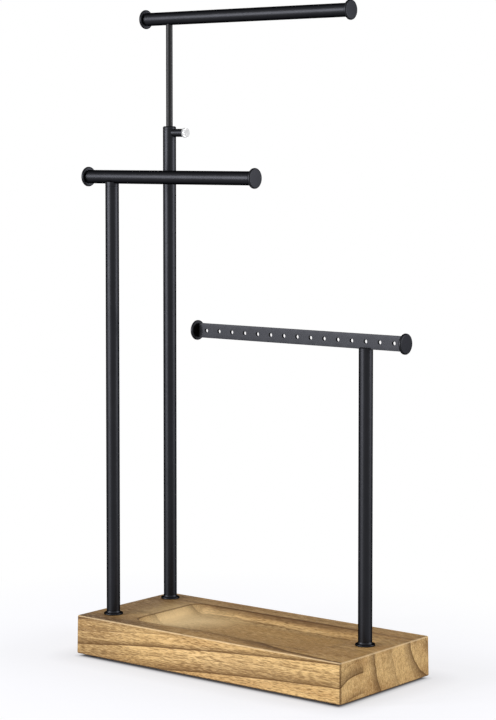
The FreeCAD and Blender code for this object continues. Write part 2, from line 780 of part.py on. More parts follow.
def check_and_write():
    """Stop on anything failed or hollow, then write one file for each piece."""
    doc.recompute()
    failed = [item.Label for item in doc.Objects if "Invalid" in item.State or "Error" in item.State]
    if failed:
        raise RuntimeError("failed objects: " + ", ".join(failed))
    os.makedirs("parts", exist_ok=True)
    for piece in PIECES:
        shape = piece.Shape
        if shape.isNull() or not shape.isValid() or len(shape.Solids) != 1:
            raise RuntimeError(piece.Label + " is not one sound solid")
        shape.exportStep(f"parts/{piece.Label}.step")
        box = shape.BoundBox
        print(f"{piece.Label:24s} {shape.Volume:10.1f} mm3  x {box.XMin:8.2f} {box.XMax:8.2f}  "
              f"y {box.YMin:7.2f} {box.YMax:7.2f}  z {box.ZMin:7.2f} {box.ZMax:7.2f}")


make_block()
make_pads()
make_posts()
make_guide()
make_rod()
make_clamp()
make_bars()
make_strip()
check_and_write()
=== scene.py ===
"""Jewellery stand: a wood block with a routed tray, black tube posts, two round bars and an earring strip.

The pieces are in millimetres in the part's own frame: the origin is on the floor under the middle of
the block, X runs along the block, Y to the back and Z up.  They are built with bmesh operators and
brought to metres when they are finished.  The floor, the lamps and the camera are in metres.
"""

import logging
import math
from collections.abc import Sequence
from dataclasses import dataclass
from enum import Enum
from typing import Protocol

import bmesh
import bpy
from bmesh.types import BMEdge, BMesh, BMFace, BMVert
from bpy.types import Material, Node, NodeSocket, World
from mathutils import Matrix, Vector


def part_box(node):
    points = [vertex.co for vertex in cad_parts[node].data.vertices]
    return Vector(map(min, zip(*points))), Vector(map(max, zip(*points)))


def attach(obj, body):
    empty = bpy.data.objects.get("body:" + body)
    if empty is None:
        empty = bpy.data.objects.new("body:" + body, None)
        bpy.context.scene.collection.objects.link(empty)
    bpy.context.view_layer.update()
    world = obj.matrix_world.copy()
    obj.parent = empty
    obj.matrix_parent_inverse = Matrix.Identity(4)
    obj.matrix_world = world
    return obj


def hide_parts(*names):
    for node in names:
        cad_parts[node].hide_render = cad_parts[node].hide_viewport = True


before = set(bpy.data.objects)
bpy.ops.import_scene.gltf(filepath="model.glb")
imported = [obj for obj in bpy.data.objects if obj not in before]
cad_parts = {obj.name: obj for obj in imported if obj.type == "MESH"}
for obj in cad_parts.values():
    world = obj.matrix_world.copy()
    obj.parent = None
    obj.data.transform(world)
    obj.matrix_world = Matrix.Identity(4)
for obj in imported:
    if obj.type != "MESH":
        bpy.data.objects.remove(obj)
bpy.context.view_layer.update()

LOG = logging.getLogger("jewellery_stand")
MM = 0.001
NEAR = 1e-3
WELD = 1e-4
SLIP = 0.05
SQUARE = ((-1, -1), (1, -1), (1, 1), (-1, 1))
POSTS = ("tall", "middle", "earring")

Colour = tuple[float, float, float]
Reach = tuple[float, float, float]
Stops = Sequence[tuple[float, float]]
Profile = Sequence[tuple[float, float]]


# ------------------------------------------------------------------ frame readings


class Along(Enum):
    """The direction that a turned piece points in."""

    UP = "up"
    RIGHT = "right"
    LEFT = "left"

    def turn(self) -> Matrix:
        """Work out the turn that brings the Z axis onto this direction.

        Returns:
            The rotation.
        """
        if self is Along.UP:
            return Matrix.Identity(4)
        angle = math.pi / 2 if self is Along.RIGHT else -math.pi / 2
        return Matrix.Rotation(angle, 4, "Y")


@dataclass(frozen=True)
class Extent:
    """The box of one node of the frame at rest, in millimetres."""

    low: Vector
    high: Vector

    @classmethod
    def of(cls, node: str) -> "Extent":
        """A node's box, read from the frame."""
        low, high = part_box(node)
        return cls(Vector(low) / MM, Vector(high) / MM)

    @property
    def middle(self) -> Vector:
        """The box's centre."""
        return (self.low + self.high) / 2

    @property
    def foot(self) -> Vector:
        """The middle of the box's underside."""
        return Vector((self.middle.x, self.middle.y, self.low.z))

    @property
    def left(self) -> Vector:
        """The middle of the box's left side."""
        return Vector((self.low.x, self.middle.y, self.middle.z))

    @property
    def size(self) -> Vector:
        """The box's three sides."""
        return self.high - self.low


# ------------------------------------------------------------------ mesh building


def lathe(profile: Profile, steps: int, closed: bool = False) -> BMesh:
    """Spin a half section a full turn about Z.

    Args:
        profile: Corners of the section as (radius, height).
        steps: Faces round the turn.
        closed: True for a section that rings a bore, false for one that ends on the axis.

    Returns:
        The turned solid.
    """
    bm = bmesh.new()
    verts = [bm.verts.new((radius, 0, height)) for radius, height in profile]
    edges = [bm.edges.new(pair) for pair in zip(verts, verts[1:])]
    if closed:
        edges.append(bm.edges.new((verts[-1], verts[0])))
    bmesh.ops.spin(
        bm,
        geom=verts + edges,
        cent=(0, 0, 0),
        axis=(0, 0, 1),
        dvec=(0, 0, 0),
        angle=math.tau,
        steps=steps,
        use_merge=True,
        use_duplicate=False,
    )
    bmesh.ops.remove_doubles(bm, verts=bm.verts[:], dist=WELD)
    bmesh.ops.recalc_face_normals(bm, faces=bm.faces[:])
    return bm


def cylinder(radius: float, high: float, steps: int, bore: float = 0) -> BMesh:
    """A plain cylinder on the origin, open through a bore of that radius or solid where it is 0."""
    return lathe([(bore, 0), (radius, 0), (radius, high), (bore, high)], steps, closed=bore > 0)


def ring_edges(bm: BMesh, radius: float, height: float) -> list[BMEdge]:
    """Find the edges that ring the Z axis.

    Args:
        bm: A turned mesh that stands on the origin.
        radius: The ring's radius.
        height: The ring's height.

    Returns:
        The ring's edges.
    """

    def lies_there(vert: BMVert) -> bool:
        """True for a point of the ring."""
        return abs(math.hypot(vert.co.x, vert.co.y) - radius) < NEAR and abs(vert.co.z - height) < NEAR

    return [edge for edge in bm.edges if all(map(lies_there, edge.verts))]


def stands_upright(face: BMFace) -> bool:
    """True for a face whose normal lies within 30 degrees of level."""
    return abs(face.normal.z) < 0.5


def round_edges(bm: BMesh, edges: Sequence[BMEdge], size: float, segments: int) -> list[BMFace]:
    """Round edges over.

    Args:
        bm: The mesh.
        edges: The edges to round.
        size: How far the rounding reaches from each edge.
        segments: Faces across the rounding.

    Returns:
        The new faces.
    """
    made = bmesh.ops.bevel(
        bm,
        geom=list(edges),
        offset=size,
        offset_type="OFFSET",
        segments=segments,
        profile=0.5,
        affect="EDGES",
        clamp_overlap=True,
        material=-1,
    )
    return made["faces"]


def round_ring(bm: BMesh, radius: float, height: float, size: float, segments: int) -> None:
    """Round the ring of edges at one radius and height of a turned piece."""
    round_edges(bm, ring_edges(bm, radius, height), size, segments)


def rounded_loop(
    bm: BMesh,
    half: tuple[float, float],
    centre: tuple[float, float],
    height: float,
    corner: float,
    steps: int,
    side_cuts: int = 11,
) -> list[BMEdge]:
    """Add a level rectangle of edges with round corners and evenly divided sides.

    Args:
        bm: The mesh to add to.
        half: Half its length and half its width.
        centre: Its middle in X and Y.
        height: Its Z.
        corner: Radius of its corners.
        steps: Edges round each corner.
        side_cuts: Points along each straight side.

    Returns:
        Its edges.
    """
    scratch = bmesh.new()
    spots = [(centre[0] + half[0] * x, centre[1] + half[1] * y, height) for x, y in SQUARE]
    verts = [scratch.verts.new(spot) for spot in spots]
    scratch.faces.new(verts)
    bmesh.ops.bevel(
        scratch,
        geom=verts,
        offset=corner,
        offset_type="OFFSET",
        segments=steps,
        profile=0.5,
        affect="VERTICES",
        clamp_overlap=True,
        material=-1,
    )
    sides = [edge for edge in scratch.edges if edge.calc_length() > corner]
    bmesh.ops.subdivide_edges(scratch, edges=sides, cuts=side_cuts)
    bmesh.ops.delete(scratch, geom=scratch.faces[:], context="FACES_ONLY")
    count = len(bm.edges)
    merge_in(bm, scratch)
    return bm.edges[count:]


def merge_in(bm: BMesh, part: BMesh) -> None:
    """Add a second mesh to a mesh.

    Args:
        bm: The mesh to add to.
        part: The second mesh, which is freed.
    """
    spare = bpy.data.meshes.new("spare")
    part.to_mesh(spare)
    part.free()
    bm.from_mesh(spare)
    bpy.data.meshes.remove(spare)
    bm.edges.ensure_lookup_table()
    bm.faces.ensure_lookup_table()


def place(bm: BMesh, centre: Vector, along: Along = Along.UP) -> None:
    """Turn a mesh onto an axis and move it to its place."""
    bmesh.ops.transform(bm, matrix=Matrix.Translation(centre) @ along.turn(), verts=bm.verts[:])


def finish_piece(
    bm: BMesh,
    name: str,
    body: str,
    materials: Sequence[Material],
    node: str,
    sharp_deg: float = 32,
    even_shading: int = 80,
) -> None:
    """Turn a mesh in millimetres into a finished piece that rides on a body.

    Args:
        bm: The mesh, which is freed.
        name: The piece's name.
        body: The body it rides on.
        materials: Its materials in the order of their indices.
        node: The CAD node that it stands for.
        sharp_deg: Faces that meet at more than this stay crisp.
        even_shading: How far large faces outweigh small ones in the shading.
    """
    bmesh.ops.scale(bm, vec=(MM, MM, MM), verts=bm.verts[:])
    mesh = bpy.data.meshes.new(name)
    bm.to_mesh(mesh)
    bm.free()
    for material in materials:
        mesh.materials.append(material)
    mesh.polygons.foreach_set("use_smooth", [True] * len(mesh.polygons))
    mesh.set_sharp_from_angle(angle=math.radians(sharp_deg))
    piece = bpy.data.objects.new(name, mesh)
    bpy.context.scene.collection.objects.link(piece)
    weighted = piece.modifiers.new("even_shading", "WEIGHTED_NORMAL")
    weighted.keep_sharp = True
    weighted.weight = even_shading
    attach(piece, body)
    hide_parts(node)
    LOG.info("%s: %d faces on %s", name, len(mesh.polygons), body)


# ------------------------------------------------------------------ materials


@dataclass
class NodeBench:
    """The node tree of a material, or of the world, with short ways to add and join nodes."""

    material: Material | World

    @classmethod
    def fresh(cls, name: str) -> "NodeBench":
        """Start a material that has only a Principled surface and its output.

        Args:
            name: The material's name.

        Returns:
            The bench for its nodes.
        """
        material = bpy.data.materials.new(name)
        material.use_nodes = True
        return cls(material)

    @property
    def surface(self) -> Node:
        """The Principled shader."""
        return next(node for node in self.material.node_tree.nodes if node.type == "BSDF_PRINCIPLED")

    def add(self, kind: str, settings: dict | None = None, **inputs: object) -> Node:
        """Add a node.

        Args:
            kind: The node's type name without its ShaderNode start.
            settings: Values for the node's own properties.
            **inputs: Values or sockets for its inputs, named as in the node with _ for a space.

        Returns:
            The node.
        """
        node = self.material.node_tree.nodes.new("ShaderNode" + kind)
        for key, value in (settings or {}).items():
            setattr(node, key, value)
        for key, value in inputs.items():
            self.feed(node, key.replace("_", " "), value)
        return node

    def feed(self, node: Node, key: str | int, value: object) -> None:
        """Set one input to a value, or link it if the value is a socket.

        Args:
            node: The node.
            key: The input's name or number.
            value: The value, or the socket to link from.
        """
        if isinstance(value, NodeSocket):
            self.material.node_tree.links.new(value, node.inputs[key])
        else:
            node.inputs[key].default_value = value

    def maths(self, operation: str, first: object, second: object = 0.0, third: object = 0.0) -> NodeSocket:
        """Add a Math node.

        Args:
            operation: The node's operation.
            first: Its first value or socket.
            second: Its second one.
            third: Its third one.

        Returns:
            The result.
        """
        node = self.add("Math", {"operation": operation})
        for index, value in enumerate((first, second, third)):
            self.feed(node, index, value)
        return node.outputs[0]

    def vectors(self, operation: str, first: object, second: object = (0, 0, 0)) -> NodeSocket:
        """Add a Vector Math node.

        Args:
            operation: The node's operation.
            first: Its first vector or socket.
            second: Its second one.

        Returns:
            The result: a number for a length or a dot product, and otherwise a vector.
        """
        node = self.add("VectorMath", {"operation": operation})
        self.feed(node, 0, first)
        self.feed(node, 1, second)
        return node.outputs["Value" if operation in ("LENGTH", "DOT_PRODUCT") else "Vector"]

    def millimetres(self) -> NodeSocket:
        """The piece's own coordinates in millimetres."""
        return self.vectors("MULTIPLY", self.add("TexCoord").outputs["Object"], (1 / MM,) * 3)

    def noise_node(self, where: object, spread: Reach, detail: float, rough: float) -> Node:
        """A noise node with lumps of that length in millimetres and that many finer layers on them."""
        stretched = self.vectors("DIVIDE", where, spread)
        return self.add("TexNoise", Vector=stretched, Scale=1.0, Detail=detail, Roughness=rough)

    def noise(self, where: object, spread: Reach, detail: float = 3, rough: float = 0.5) -> NodeSocket:
        """The same noise as one number from 0 to 1."""
        return self.noise_node(where, spread, detail, rough).outputs["Fac"]

    def ramp(self, value: object, stops: Sequence[tuple[float, Colour | float]]) -> NodeSocket:
        """Add a colour ramp.

        Args:
            value: The number that it is read at.
            stops: Its stops as (position, colour or grey).

        Returns:
            The colour or grey.
        """
        node = self.add("ValToRGB")
        self.feed(node, 0, value)
        points = node.color_ramp.elements
        while len(points) < len(stops):
            points.new(0.5)
        for point, (position, colour) in zip(points, stops):
            grey = isinstance(colour, (int, float))
            point.position = position
            point.color = (colour, colour, colour, 1) if grey else (*colour, 1)
        return node.outputs[0]

    def blend(self, share: object, first: object, second: object) -> NodeSocket:
        """Mix two colours.

        Args:
            share: The second colour's share, from 0 to 1.
            first: The first colour.
            second: The second colour.

        Returns:
            The mixed colour.
        """
        node = self.add("Mix", {"data_type": "RGBA", "clamp_factor": True})
        self.feed(node, 0, share)
        for index, value in ((6, first), (7, second)):
            self.feed(node, index, (*value, 1) if isinstance(value, tuple) and len(value) == 3 else value)
        return node.outputs[2]

    def bump(self, height: object, depth_mm: float) -> None:
        """Raise the surface by a height from 0 to 1 times a depth."""
        node = self.add("Bump", Height=height, Strength=1.0, Distance=depth_mm * MM)
        self.feed(self.surface, "Normal", node.outputs[0])

    def vary_roughness(self, pattern: object, middle: float, change: float) -> None:
        """Let the roughness swing by a change about its middle value, as a pattern goes from 0 to 1."""
        self.feed(self.surface, "Roughness", self.maths("MULTIPLY_ADD", pattern, change, middle - change / 2))

    def vary_colour(self, pattern: object, low: tuple[float, Colour], high: tuple[float, Colour]) -> None:
        """Let the base colour go from one (pattern value, colour) to another."""
        self.feed(self.surface, "Base Color", self.ramp(pattern, [low, high]))

    def centred(self, vector: object) -> NodeSocket:
        """A vector of noises from 0 to 1 brought to lie about 0."""
        return self.vectors("SUBTRACT", vector, (0.5, 0.5, 0.5))

    def seen_directly(self) -> NodeSocket:
        """Tell the rays that show a surface from those that only light it.

        Returns:
            1 for rays from the camera, off a gloss or through glass, and otherwise 0.
        """
        path = self.add("LightPath")
        seen = self.maths("MAXIMUM", path.outputs["Is Camera Ray"], path.outputs["Is Glossy Ray"])
        return self.maths("MAXIMUM", seen, path.outputs["Is Transmission Ray"])


def tinted(colour: Colour, tone: float) -> Colour:
    """A colour made darker or lighter by a tone."""
    return tuple(part * tone for part in colour)


@dataclass(frozen=True)
class BlackCoat:
    """Satin black coating on steel: very dark, broad soft gloss, a fine orange-peel surface."""

    name: str = "satin_black_coat"
    colour: Colour = (0.0208, 0.0213, 0.0243)
    edge: Colour = (0.0365, 0.035, 0.0375)
    roughness: float = 0.39
    cloud_mm: float = 14
    cloud_tone: float = 0.05
    peel_mm: float = 0.6
    peel_gloss: float = 0.03
    peel_depth_mm: float = 0.0002

    def make(self) -> Material:
        """Build the material.

        Returns:
            The material.
        """
        bench = NodeBench.fresh(self.name)
        where = bench.millimetres()
        bench.surface.inputs["Metallic"].default_value = 1.0
        bench.surface.inputs["Specular Tint"].default_value = (*self.edge, 1)
        cloud = bench.noise(where, (self.cloud_mm,) * 3, 2)
        darker, lighter = tinted(self.colour, 1 - self.cloud_tone), tinted(self.colour, 1 + self.cloud_tone)
        bench.vary_colour(cloud, (0.3, darker), (0.7, lighter))
        peel = bench.noise(where, (self.peel_mm,) * 3, 2, 0.6)
        bench.vary_roughness(peel, self.roughness, self.peel_gloss)
        bench.bump(peel, self.peel_depth_mm)
        return bench.material


@dataclass(frozen=True)
class BrightSteel:
    """Plated steel with a lathe's fine turning marks."""

    name: str
    colour: Colour
    roughness: float
    mark_mm: Reach = (0.25, 1.5, 1.5)
    mark_tone: float = 0.82
    mark_gloss: float = 0.12
    mark_depth_mm: float = 0.01

    def make(self) -> Material:
        """Build the material.

        Returns:
            The material.
        """
        bench = NodeBench.fresh(self.name)
        bench.surface.inputs["Metallic"].default_value = 1.0
        marks = bench.noise(bench.millimetres(), self.mark_mm, 2)
        bench.vary_colour(marks, (0.3, tinted(self.colour, self.mark_tone)), (0.65, self.colour))
        bench.vary_roughness(marks, self.roughness, self.mark_gloss)
        bench.bump(marks, self.mark_depth_mm)
        return bench.material


@dataclass(frozen=True)
class SoftPolymer:
    """A matte rubber or plastic with a fine moulded grain."""

    name: str
    colour: Colour
    roughness: float
    sheen: float = 0.35
    grain_mm: float = 0.3
    grain_tone: float = 0.8
    grain_gloss: float = 0.15
    grain_depth_mm: float = 0.03

    def make(self) -> Material:
        """Build the material.

        Returns:
            The material.
        """
        bench = NodeBench.fresh(self.name)
        bench.surface.inputs["Specular IOR Level"].default_value = self.sheen
        grain = bench.noise(bench.millimetres(), (self.grain_mm,) * 3, 3, 0.6)
        bench.vary_colour(grain, (0.3, tinted(self.colour, self.grain_tone)), (0.7, self.colour))
        bench.vary_roughness(grain, self.roughness, self.grain_gloss)
        bench.bump(grain, self.grain_depth_mm)
        return bench.material


@dataclass(frozen=True)
class GrowthRing:
    """One dark late-wood line: where it lies, its strength and the width of the fade above it."""

    place: float
    strength: float
    fade: float


@dataclass(frozen=True)
class ColourPatch:
    """A soft-edged patch where the board's colour changes: its middle, its reach and its share. Some follow
    the board's own colour, others paint light and shade on it.
    """

    middle: tuple[float, float, float]
    reach: Reach
    share: float


class WoodFace(Enum):
    """How a part of the block's surface is coloured, as its place in the block's list of materials. The
    rounded top edges are made lighter, as wear and as a painted highlight; the outer corners are darkened as
    a stain, and the tray's rim and the bottom edge as painted shade.
    """

    PLAIN = 0
    RUBBED = 1
    STAINED = 2


@dataclass(frozen=True)
class GrainPatterns:
    """What the board's colour and surface follow: sockets that each run from 0 to 1."""

    level: NodeSocket
    late: NodeSocket
    broad: NodeSocket
    streak: NodeSocket
    fibre: NodeSocket
    pore: NodeSocket


@dataclass(frozen=True)
class OiledWood:
    """Oiled solid wood: upright rings through most of the block, and a flatter set along its front edge."""

    name: str = "oiled_wood"
    face: WoodFace = WoodFace.PLAIN

    light: Colour = (0.65, 0.43, 0.185)
    brown: Colour = (0.37, 0.205, 0.073)
    # Painted shade: the level faces, the top and the tray floor, are turned part way towards this darker
    # brown.
    top_brown: Colour = (0.36, 0.185, 0.05)
    top_share: float = 0.5
    dark: Colour = (0.09, 0.042, 0.015)
    pale: Colour = (0.93, 0.68, 0.36)
    # Brown of the board's smoky patches, also used for the painted shade under the tray's back rim.
    smoke: Colour = (0.115, 0.062, 0.03)
    pale_fibre: Colour = (0.90, 0.66, 0.36)
    # Lighter colour of the rounded top edges: part wear, part painted highlight.
    rubbed: Colour = (0.80, 0.60, 0.36)
    rubbed_share: float = 0.5
    # How far the darkened faces go towards the dark brown: a stain on the outer corners, painted shade on the
    # tray's rim and the bottom edge.
    stained_share: float = 0.6
    pore_share: float = 0.5
    ring_share: float = 0.92

    broad_mm: Reach = (90, 16, 12)
    streak_mm: Reach = (34, 2.4, 2.4)
    fibre_mm: Reach = (5.5, 0.55, 0.55)
    end_fibre_mm: Reach = (8, 0.6, 2.2)
    dash_mm: Reach = (5, 0.55, 0.55)
    end_grain_stops: Stops = ((0.55, 0.0), (0.8, 1.0))
    level_stops: Stops = ((0.6, 0.0), (1.0, 1.0))
    brown_stops: Stops = ((0.36, 0.0), (0.66, 0.75))
    streak_stops: Stops = ((0.46, 0.0), (0.72, 0.32))
    pale_fibre_stops: Stops = ((0.24, 0.6), (0.47, 0.0))
    dark_fibre_stops: Stops = ((0.52, 0.0), (0.72, 0.55))
    pore_stops: Stops = ((0.60, 0.0), (0.72, 1.0))
    pore_by_ring: float = 0.22
    pore_by_streak: float = 0.16

    sheen: float = 0.06
    roughness: float = 0.5
    fibre_roughness: float = 0.2
    pore_roughness: float = 0.1
    relief_mm: float = 0.14
    pore_relief: float = -0.8
    fibre_relief: float = -0.6
    ring_relief: float = -0.3

    heart: tuple[float, float] = (63, 35)
    reach: float = 150
    level_softening: float = 0.6
    sway_mm: Reach = (70, 26, 22)
    sway_by: Reach = (0, 9, 2.4)
    ring_lead: float = 0.4
    ring_body: float = 0.9
    ring_body_share: float = 0.56
    half_length: float = 125
    front_edge: float = -55
    front_low: float = -20
    front_reach: float = 70
    front_rise: tuple[float, float] = (10.25, -2.45)
    arch: float = 7
    arch_run: float = 8
    seam: float = -28
    seam_run: float = 1.5
    patch_drift: Reach = (6, 9, 0)
    upright: tuple[GrowthRing, ...] = (
        GrowthRing(14, 0.5, 7),
        GrowthRing(33.5, 1.0, 9),
        GrowthRing(56, 0.4, 10),
        GrowthRing(77.5, 1.0, 8),
    )
    flat: tuple[GrowthRing, ...] = (
        GrowthRing(-9, 0.5, 4),
        GrowthRing(5.7, 1.0, 9),
        GrowthRing(14.5, 0.35, 4),
        GrowthRing(21.8, 1.0, 4),
        GrowthRing(31.5, 0.3, 5),
        GrowthRing(41, 0.9, 3),
    )
    # Pale patches: the first, on the tray's left wall, is painted light; the others lighten a strip at the
    # back of the tray floor and a band of the front face.
    sapwood: tuple[ColourPatch, ...] = (
        ColourPatch((-75, 2, 24), (29, 37, 6), 1.0),
        ColourPatch((7, 29, 26), (90, 5, 4), 0.3),
        ColourPatch((25, -56, 15), (60, 5, 12), 0.35),
    )
    # Painted light: the tray's left end is lightened after the rings are drawn, hiding them there.
    worn: tuple[ColourPatch, ...] = (
        ColourPatch((-78, 5, 24), (18, 27, 7), 0.95),
        ColourPatch((-52, 18, 21), (24, 16, 6), 0.65),
    )
    rim_shade: tuple[ColourPatch, ...] = (
        ColourPatch((4, 37.5, 30.9), (120, 1.5, 1.7), 0.9),
        ColourPatch((12, 35.9, 29.5), (95, 2.1, 2.4), 0.75),
    )
    smoky: tuple[ColourPatch, ...] = (
        ColourPatch((-111, 11, 34), (24, 45, 7), 0.85),
        ColourPatch((-96, -50, 31.5), (52, 10, 3), 0.9),
        ColourPatch((0, 44, 34), (140, 10, 6), 0.4),
        ColourPatch((-23, -20, 22), (62, 13, 5), 0.3),
        ColourPatch((-34, -36, 28), (42, 9, 8), 0.4),
        ColourPatch((-112, -56, 12), (46, 10, 30), 0.55),
    )

    def ring_stops(self, rings: Sequence[GrowthRing], low: float, reach: float) -> list[tuple[float, float]]:
        """Ramp stops for dark lines that start at once and clear slowly.

        Args:
            rings: The lines in rising order.
            low: The distance that the ramp starts from.
            reach: The distance that the ramp covers.

        Returns:
            Stops as (position, darkness).
        """
        stops: list[tuple[float, float]] = []
        for ring in rings:
            here = ring.place - low
            stops.append(((here - self.ring_lead) / reach, 0.0))
            stops.append((here / reach, ring.strength))
            stops.append(((here + self.ring_body) / reach, ring.strength * self.ring_body_share))
            stops.append(((here + ring.fade) / reach, 0.0))
        return stops

    def upright_rings(self, bench: NodeBench, bent: NodeSocket) -> NodeSocket:
        """Read the rings that stand round the tree's heart, which lies outside the block.

        Args:
            bench: The material's nodes.
            bent: The swayed coordinates in millimetres.

        Returns:
            Darkness from 0 to 1.
        """
        from_heart = bench.vectors("SUBTRACT", bent, (0, *self.heart))
        radius = bench.vectors("LENGTH", bench.vectors("MULTIPLY", from_heart, (0, 1, 1)))
        stops = self.ring_stops(self.upright, 0, self.reach)
        return bench.ramp(bench.maths("DIVIDE", radius, self.reach), stops)

    def flat_rings(self, bench: NodeBench, where: NodeSocket, bent: Node) -> NodeSocket:
        """Read the rings along the front, which rise to the right and arch up behind the front face.

        Args:
            bench: The material's nodes.
            where: The piece's coordinates in millimetres.
            bent: The swayed coordinates, split.

        Returns:
            Darkness from 0 to 1.
        """
        slope, curve = self.front_rise
        along = bench.maths("DIVIDE", bent.outputs[0], self.half_length)
        rise = bench.maths("MULTIPLY", bench.maths("MULTIPLY_ADD", along, curve, slope), along)
        depth = bench.add("SeparateXYZ", Vector=where).outputs[1]
        inward = bench.maths("MAXIMUM", bench.maths("SUBTRACT", depth, self.front_edge), 0.0)
        fall = bench.maths("EXPONENT", bench.maths("DIVIDE", inward, -self.arch_run))
        arch = bench.maths("MULTIPLY_ADD", fall, -self.arch, self.arch)
        drop = bench.maths("SUBTRACT", bench.maths("SUBTRACT", bent.outputs[2], rise), arch)
        height = bench.maths("DIVIDE", bench.maths("SUBTRACT", drop, self.front_low), self.front_reach)
        return bench.ramp(height, self.ring_stops(self.flat, self.front_low, self.front_reach))

    def build_rings(self, bench: NodeBench, where: NodeSocket, level: NodeSocket) -> NodeSocket:
        """Work out how dark the late wood is at each point.

        Args:
            bench: The material's nodes.
            where: The piece's coordinates in millimetres.
            level: 1 where the surface is level, where the upright rings are cut along and look softer.

        Returns:
            Darkness from 0 to 1.
        """
        sway = bench.noise_node(where, self.sway_mm, 3, 0.55).outputs["Color"]
        shifted = bench.vectors("MULTIPLY", bench.centred(sway), self.sway_by)
        bent = bench.vectors("ADD", where, shifted)
        split = bench.add("SeparateXYZ", Vector=bent)
        kept = bench.maths("MULTIPLY_ADD", level, -self.level_softening, 1.0)
        upright = bench.maths("MULTIPLY", self.upright_rings(bench, bent), kept)
        flat = self.flat_rings(bench, where, split)
        behind = bench.add("MapRange", {"interpolation_type": "SMOOTHSTEP"}, Value=split.outputs[1])
        bench.feed(behind, "From Min", self.seam - self.seam_run)
        bench.feed(behind, "From Max", self.seam + self.seam_run)
        return bench.blend(behind.outputs[0], flat, upright)

    def add_patches(
        self,
        bench: NodeBench,
        where: NodeSocket,
        tone: NodeSocket,
        patches: Sequence[ColourPatch],
        to: Colour,
    ) -> NodeSocket:
        """Turn the tone towards another colour inside soft patches.

        Args:
            bench: The material's nodes.
            where: The piece's coordinates in millimetres.
            tone: The colour so far.
            patches: The patches.
            to: The colour in their middles.

        Returns:
            The new colour.
        """
        for patch in patches:
            scaled = bench.vectors("DIVIDE", bench.vectors("SUBTRACT", where, patch.middle), patch.reach)
            square = bench.vectors("DOT_PRODUCT", scaled, scaled)
            inside = bench.maths("EXPONENT", bench.maths("MULTIPLY", square, -1.0))
            tone = bench.blend(bench.maths("MULTIPLY", inside, patch.share), tone, to)
        return tone

    def read_grain(self, bench: NodeBench, where: NodeSocket) -> GrainPatterns:
        """Lay out the noises and rings that the colour and the surface follow.

        Args:
            bench: The material's nodes.
            where: The piece's coordinates in millimetres.

        Returns:
            The patterns.
        """
        normal = bench.add("NewGeometry").outputs["Normal"]
        facing = bench.add("SeparateXYZ", Vector=bench.vectors("ABSOLUTE", normal))
        end_grain = bench.ramp(facing.outputs[0], self.end_grain_stops)
        level = bench.ramp(facing.outputs[2], self.level_stops)
        late = self.build_rings(bench, where, level)
        broad = bench.noise(where, self.broad_mm)
        streak = bench.noise(where, self.streak_mm, 4, 0.6)
        side_fibre = bench.noise(where, self.fibre_mm, 3, 0.65)
        end_fibre = bench.noise(where, self.end_fibre_mm, 2, 0.6)
        fibre = bench.blend(end_grain, side_fibre, end_fibre)
        by_streak = bench.maths("MULTIPLY", streak, self.pore_by_streak)
        crowding = bench.maths("MULTIPLY_ADD", late, self.pore_by_ring, by_streak)
        dash = bench.noise(where, self.dash_mm, 1)
        pore = bench.ramp(bench.maths("ADD", dash, crowding), self.pore_stops)
        return GrainPatterns(level, late, broad, streak, fibre, pore)

    def board_tone(self, bench: NodeBench, where: NodeSocket, grain: GrainPatterns) -> NodeSocket:
        """Colour the board and draw its grain and patches on it, with painted shade on the level faces and
        under the tray's back rim, and painted light on the tray's left end.

        Args:
            bench: The material's nodes.
            where: The piece's coordinates in millimetres.
            grain: The patterns.

        Returns:
            The colour.
        """
        tone = bench.blend(bench.ramp(grain.broad, self.brown_stops), self.light, self.brown)
        tone = bench.blend(bench.ramp(grain.streak, self.streak_stops), tone, self.brown)
        # Painted shade: the level faces turn darker brown.
        tone = bench.blend(bench.maths("MULTIPLY", grain.level, self.top_share), tone, self.top_brown)
        drift = bench.add("CombineXYZ", X=grain.streak, Y=grain.broad, Z=0.5).outputs[0]
        sideways = bench.vectors("MULTIPLY", bench.centred(drift), self.patch_drift)
        drifted = bench.vectors("ADD", where, sideways)
        # Pale patches, the first of them painted light on the tray's left wall.
        tone = self.add_patches(bench, drifted, tone, self.sapwood, self.pale)
        tone = self.add_patches(bench, drifted, tone, self.smoky, self.smoke)
        tone = bench.blend(bench.ramp(grain.fibre, self.pale_fibre_stops), tone, self.pale_fibre)
        tone = bench.blend(bench.ramp(grain.fibre, self.dark_fibre_stops), tone, self.dark)
        tone = bench.blend(bench.maths("MULTIPLY", grain.pore, self.pore_share), tone, self.dark)
        tone = bench.blend(bench.maths("MULTIPLY", grain.late, self.ring_share), tone, self.dark)
        # Painted light on the tray's left end.
        tone = self.add_patches(bench, drifted, tone, self.worn, self.pale)
        return self.add_patches(bench, where, tone, self.rim_shade, self.smoke)

    def make(self) -> Material:
        """Build the material.

        Returns:
            The material.
        """
        bench = NodeBench.fresh(self.name)
        where = bench.millimetres()
        surface = bench.surface
        surface.inputs["Specular IOR Level"].default_value = self.sheen
        grain = self.read_grain(bench, where)
        tone = self.board_tone(bench, where, grain)
        # Lighter edges: wear and a painted highlight. Darkened faces: a stain on the outer corners, painted
        # shade on the tray rim and the bottom edge.
        if self.face is WoodFace.RUBBED:
            tone = bench.blend(self.rubbed_share, tone, self.rubbed)
        if self.face is WoodFace.STAINED:
            tone = bench.blend(self.stained_share, tone, self.dark)
        bench.feed(surface, "Base Color", tone)
        rough = bench.maths("MULTIPLY_ADD", grain.fibre, self.fibre_roughness, self.roughness)
        bench.feed(surface, "Roughness", bench.maths("MULTIPLY_ADD", grain.pore, self.pore_roughness, rough))
        height = bench.maths("MULTIPLY", grain.fibre, self.fibre_relief)
        height = bench.maths("MULTIPLY_ADD", grain.pore, self.pore_relief, height)
        bench.bump(bench.maths("MULTIPLY_ADD", grain.late, self.ring_relief, height), self.relief_mm)
        return bench.material


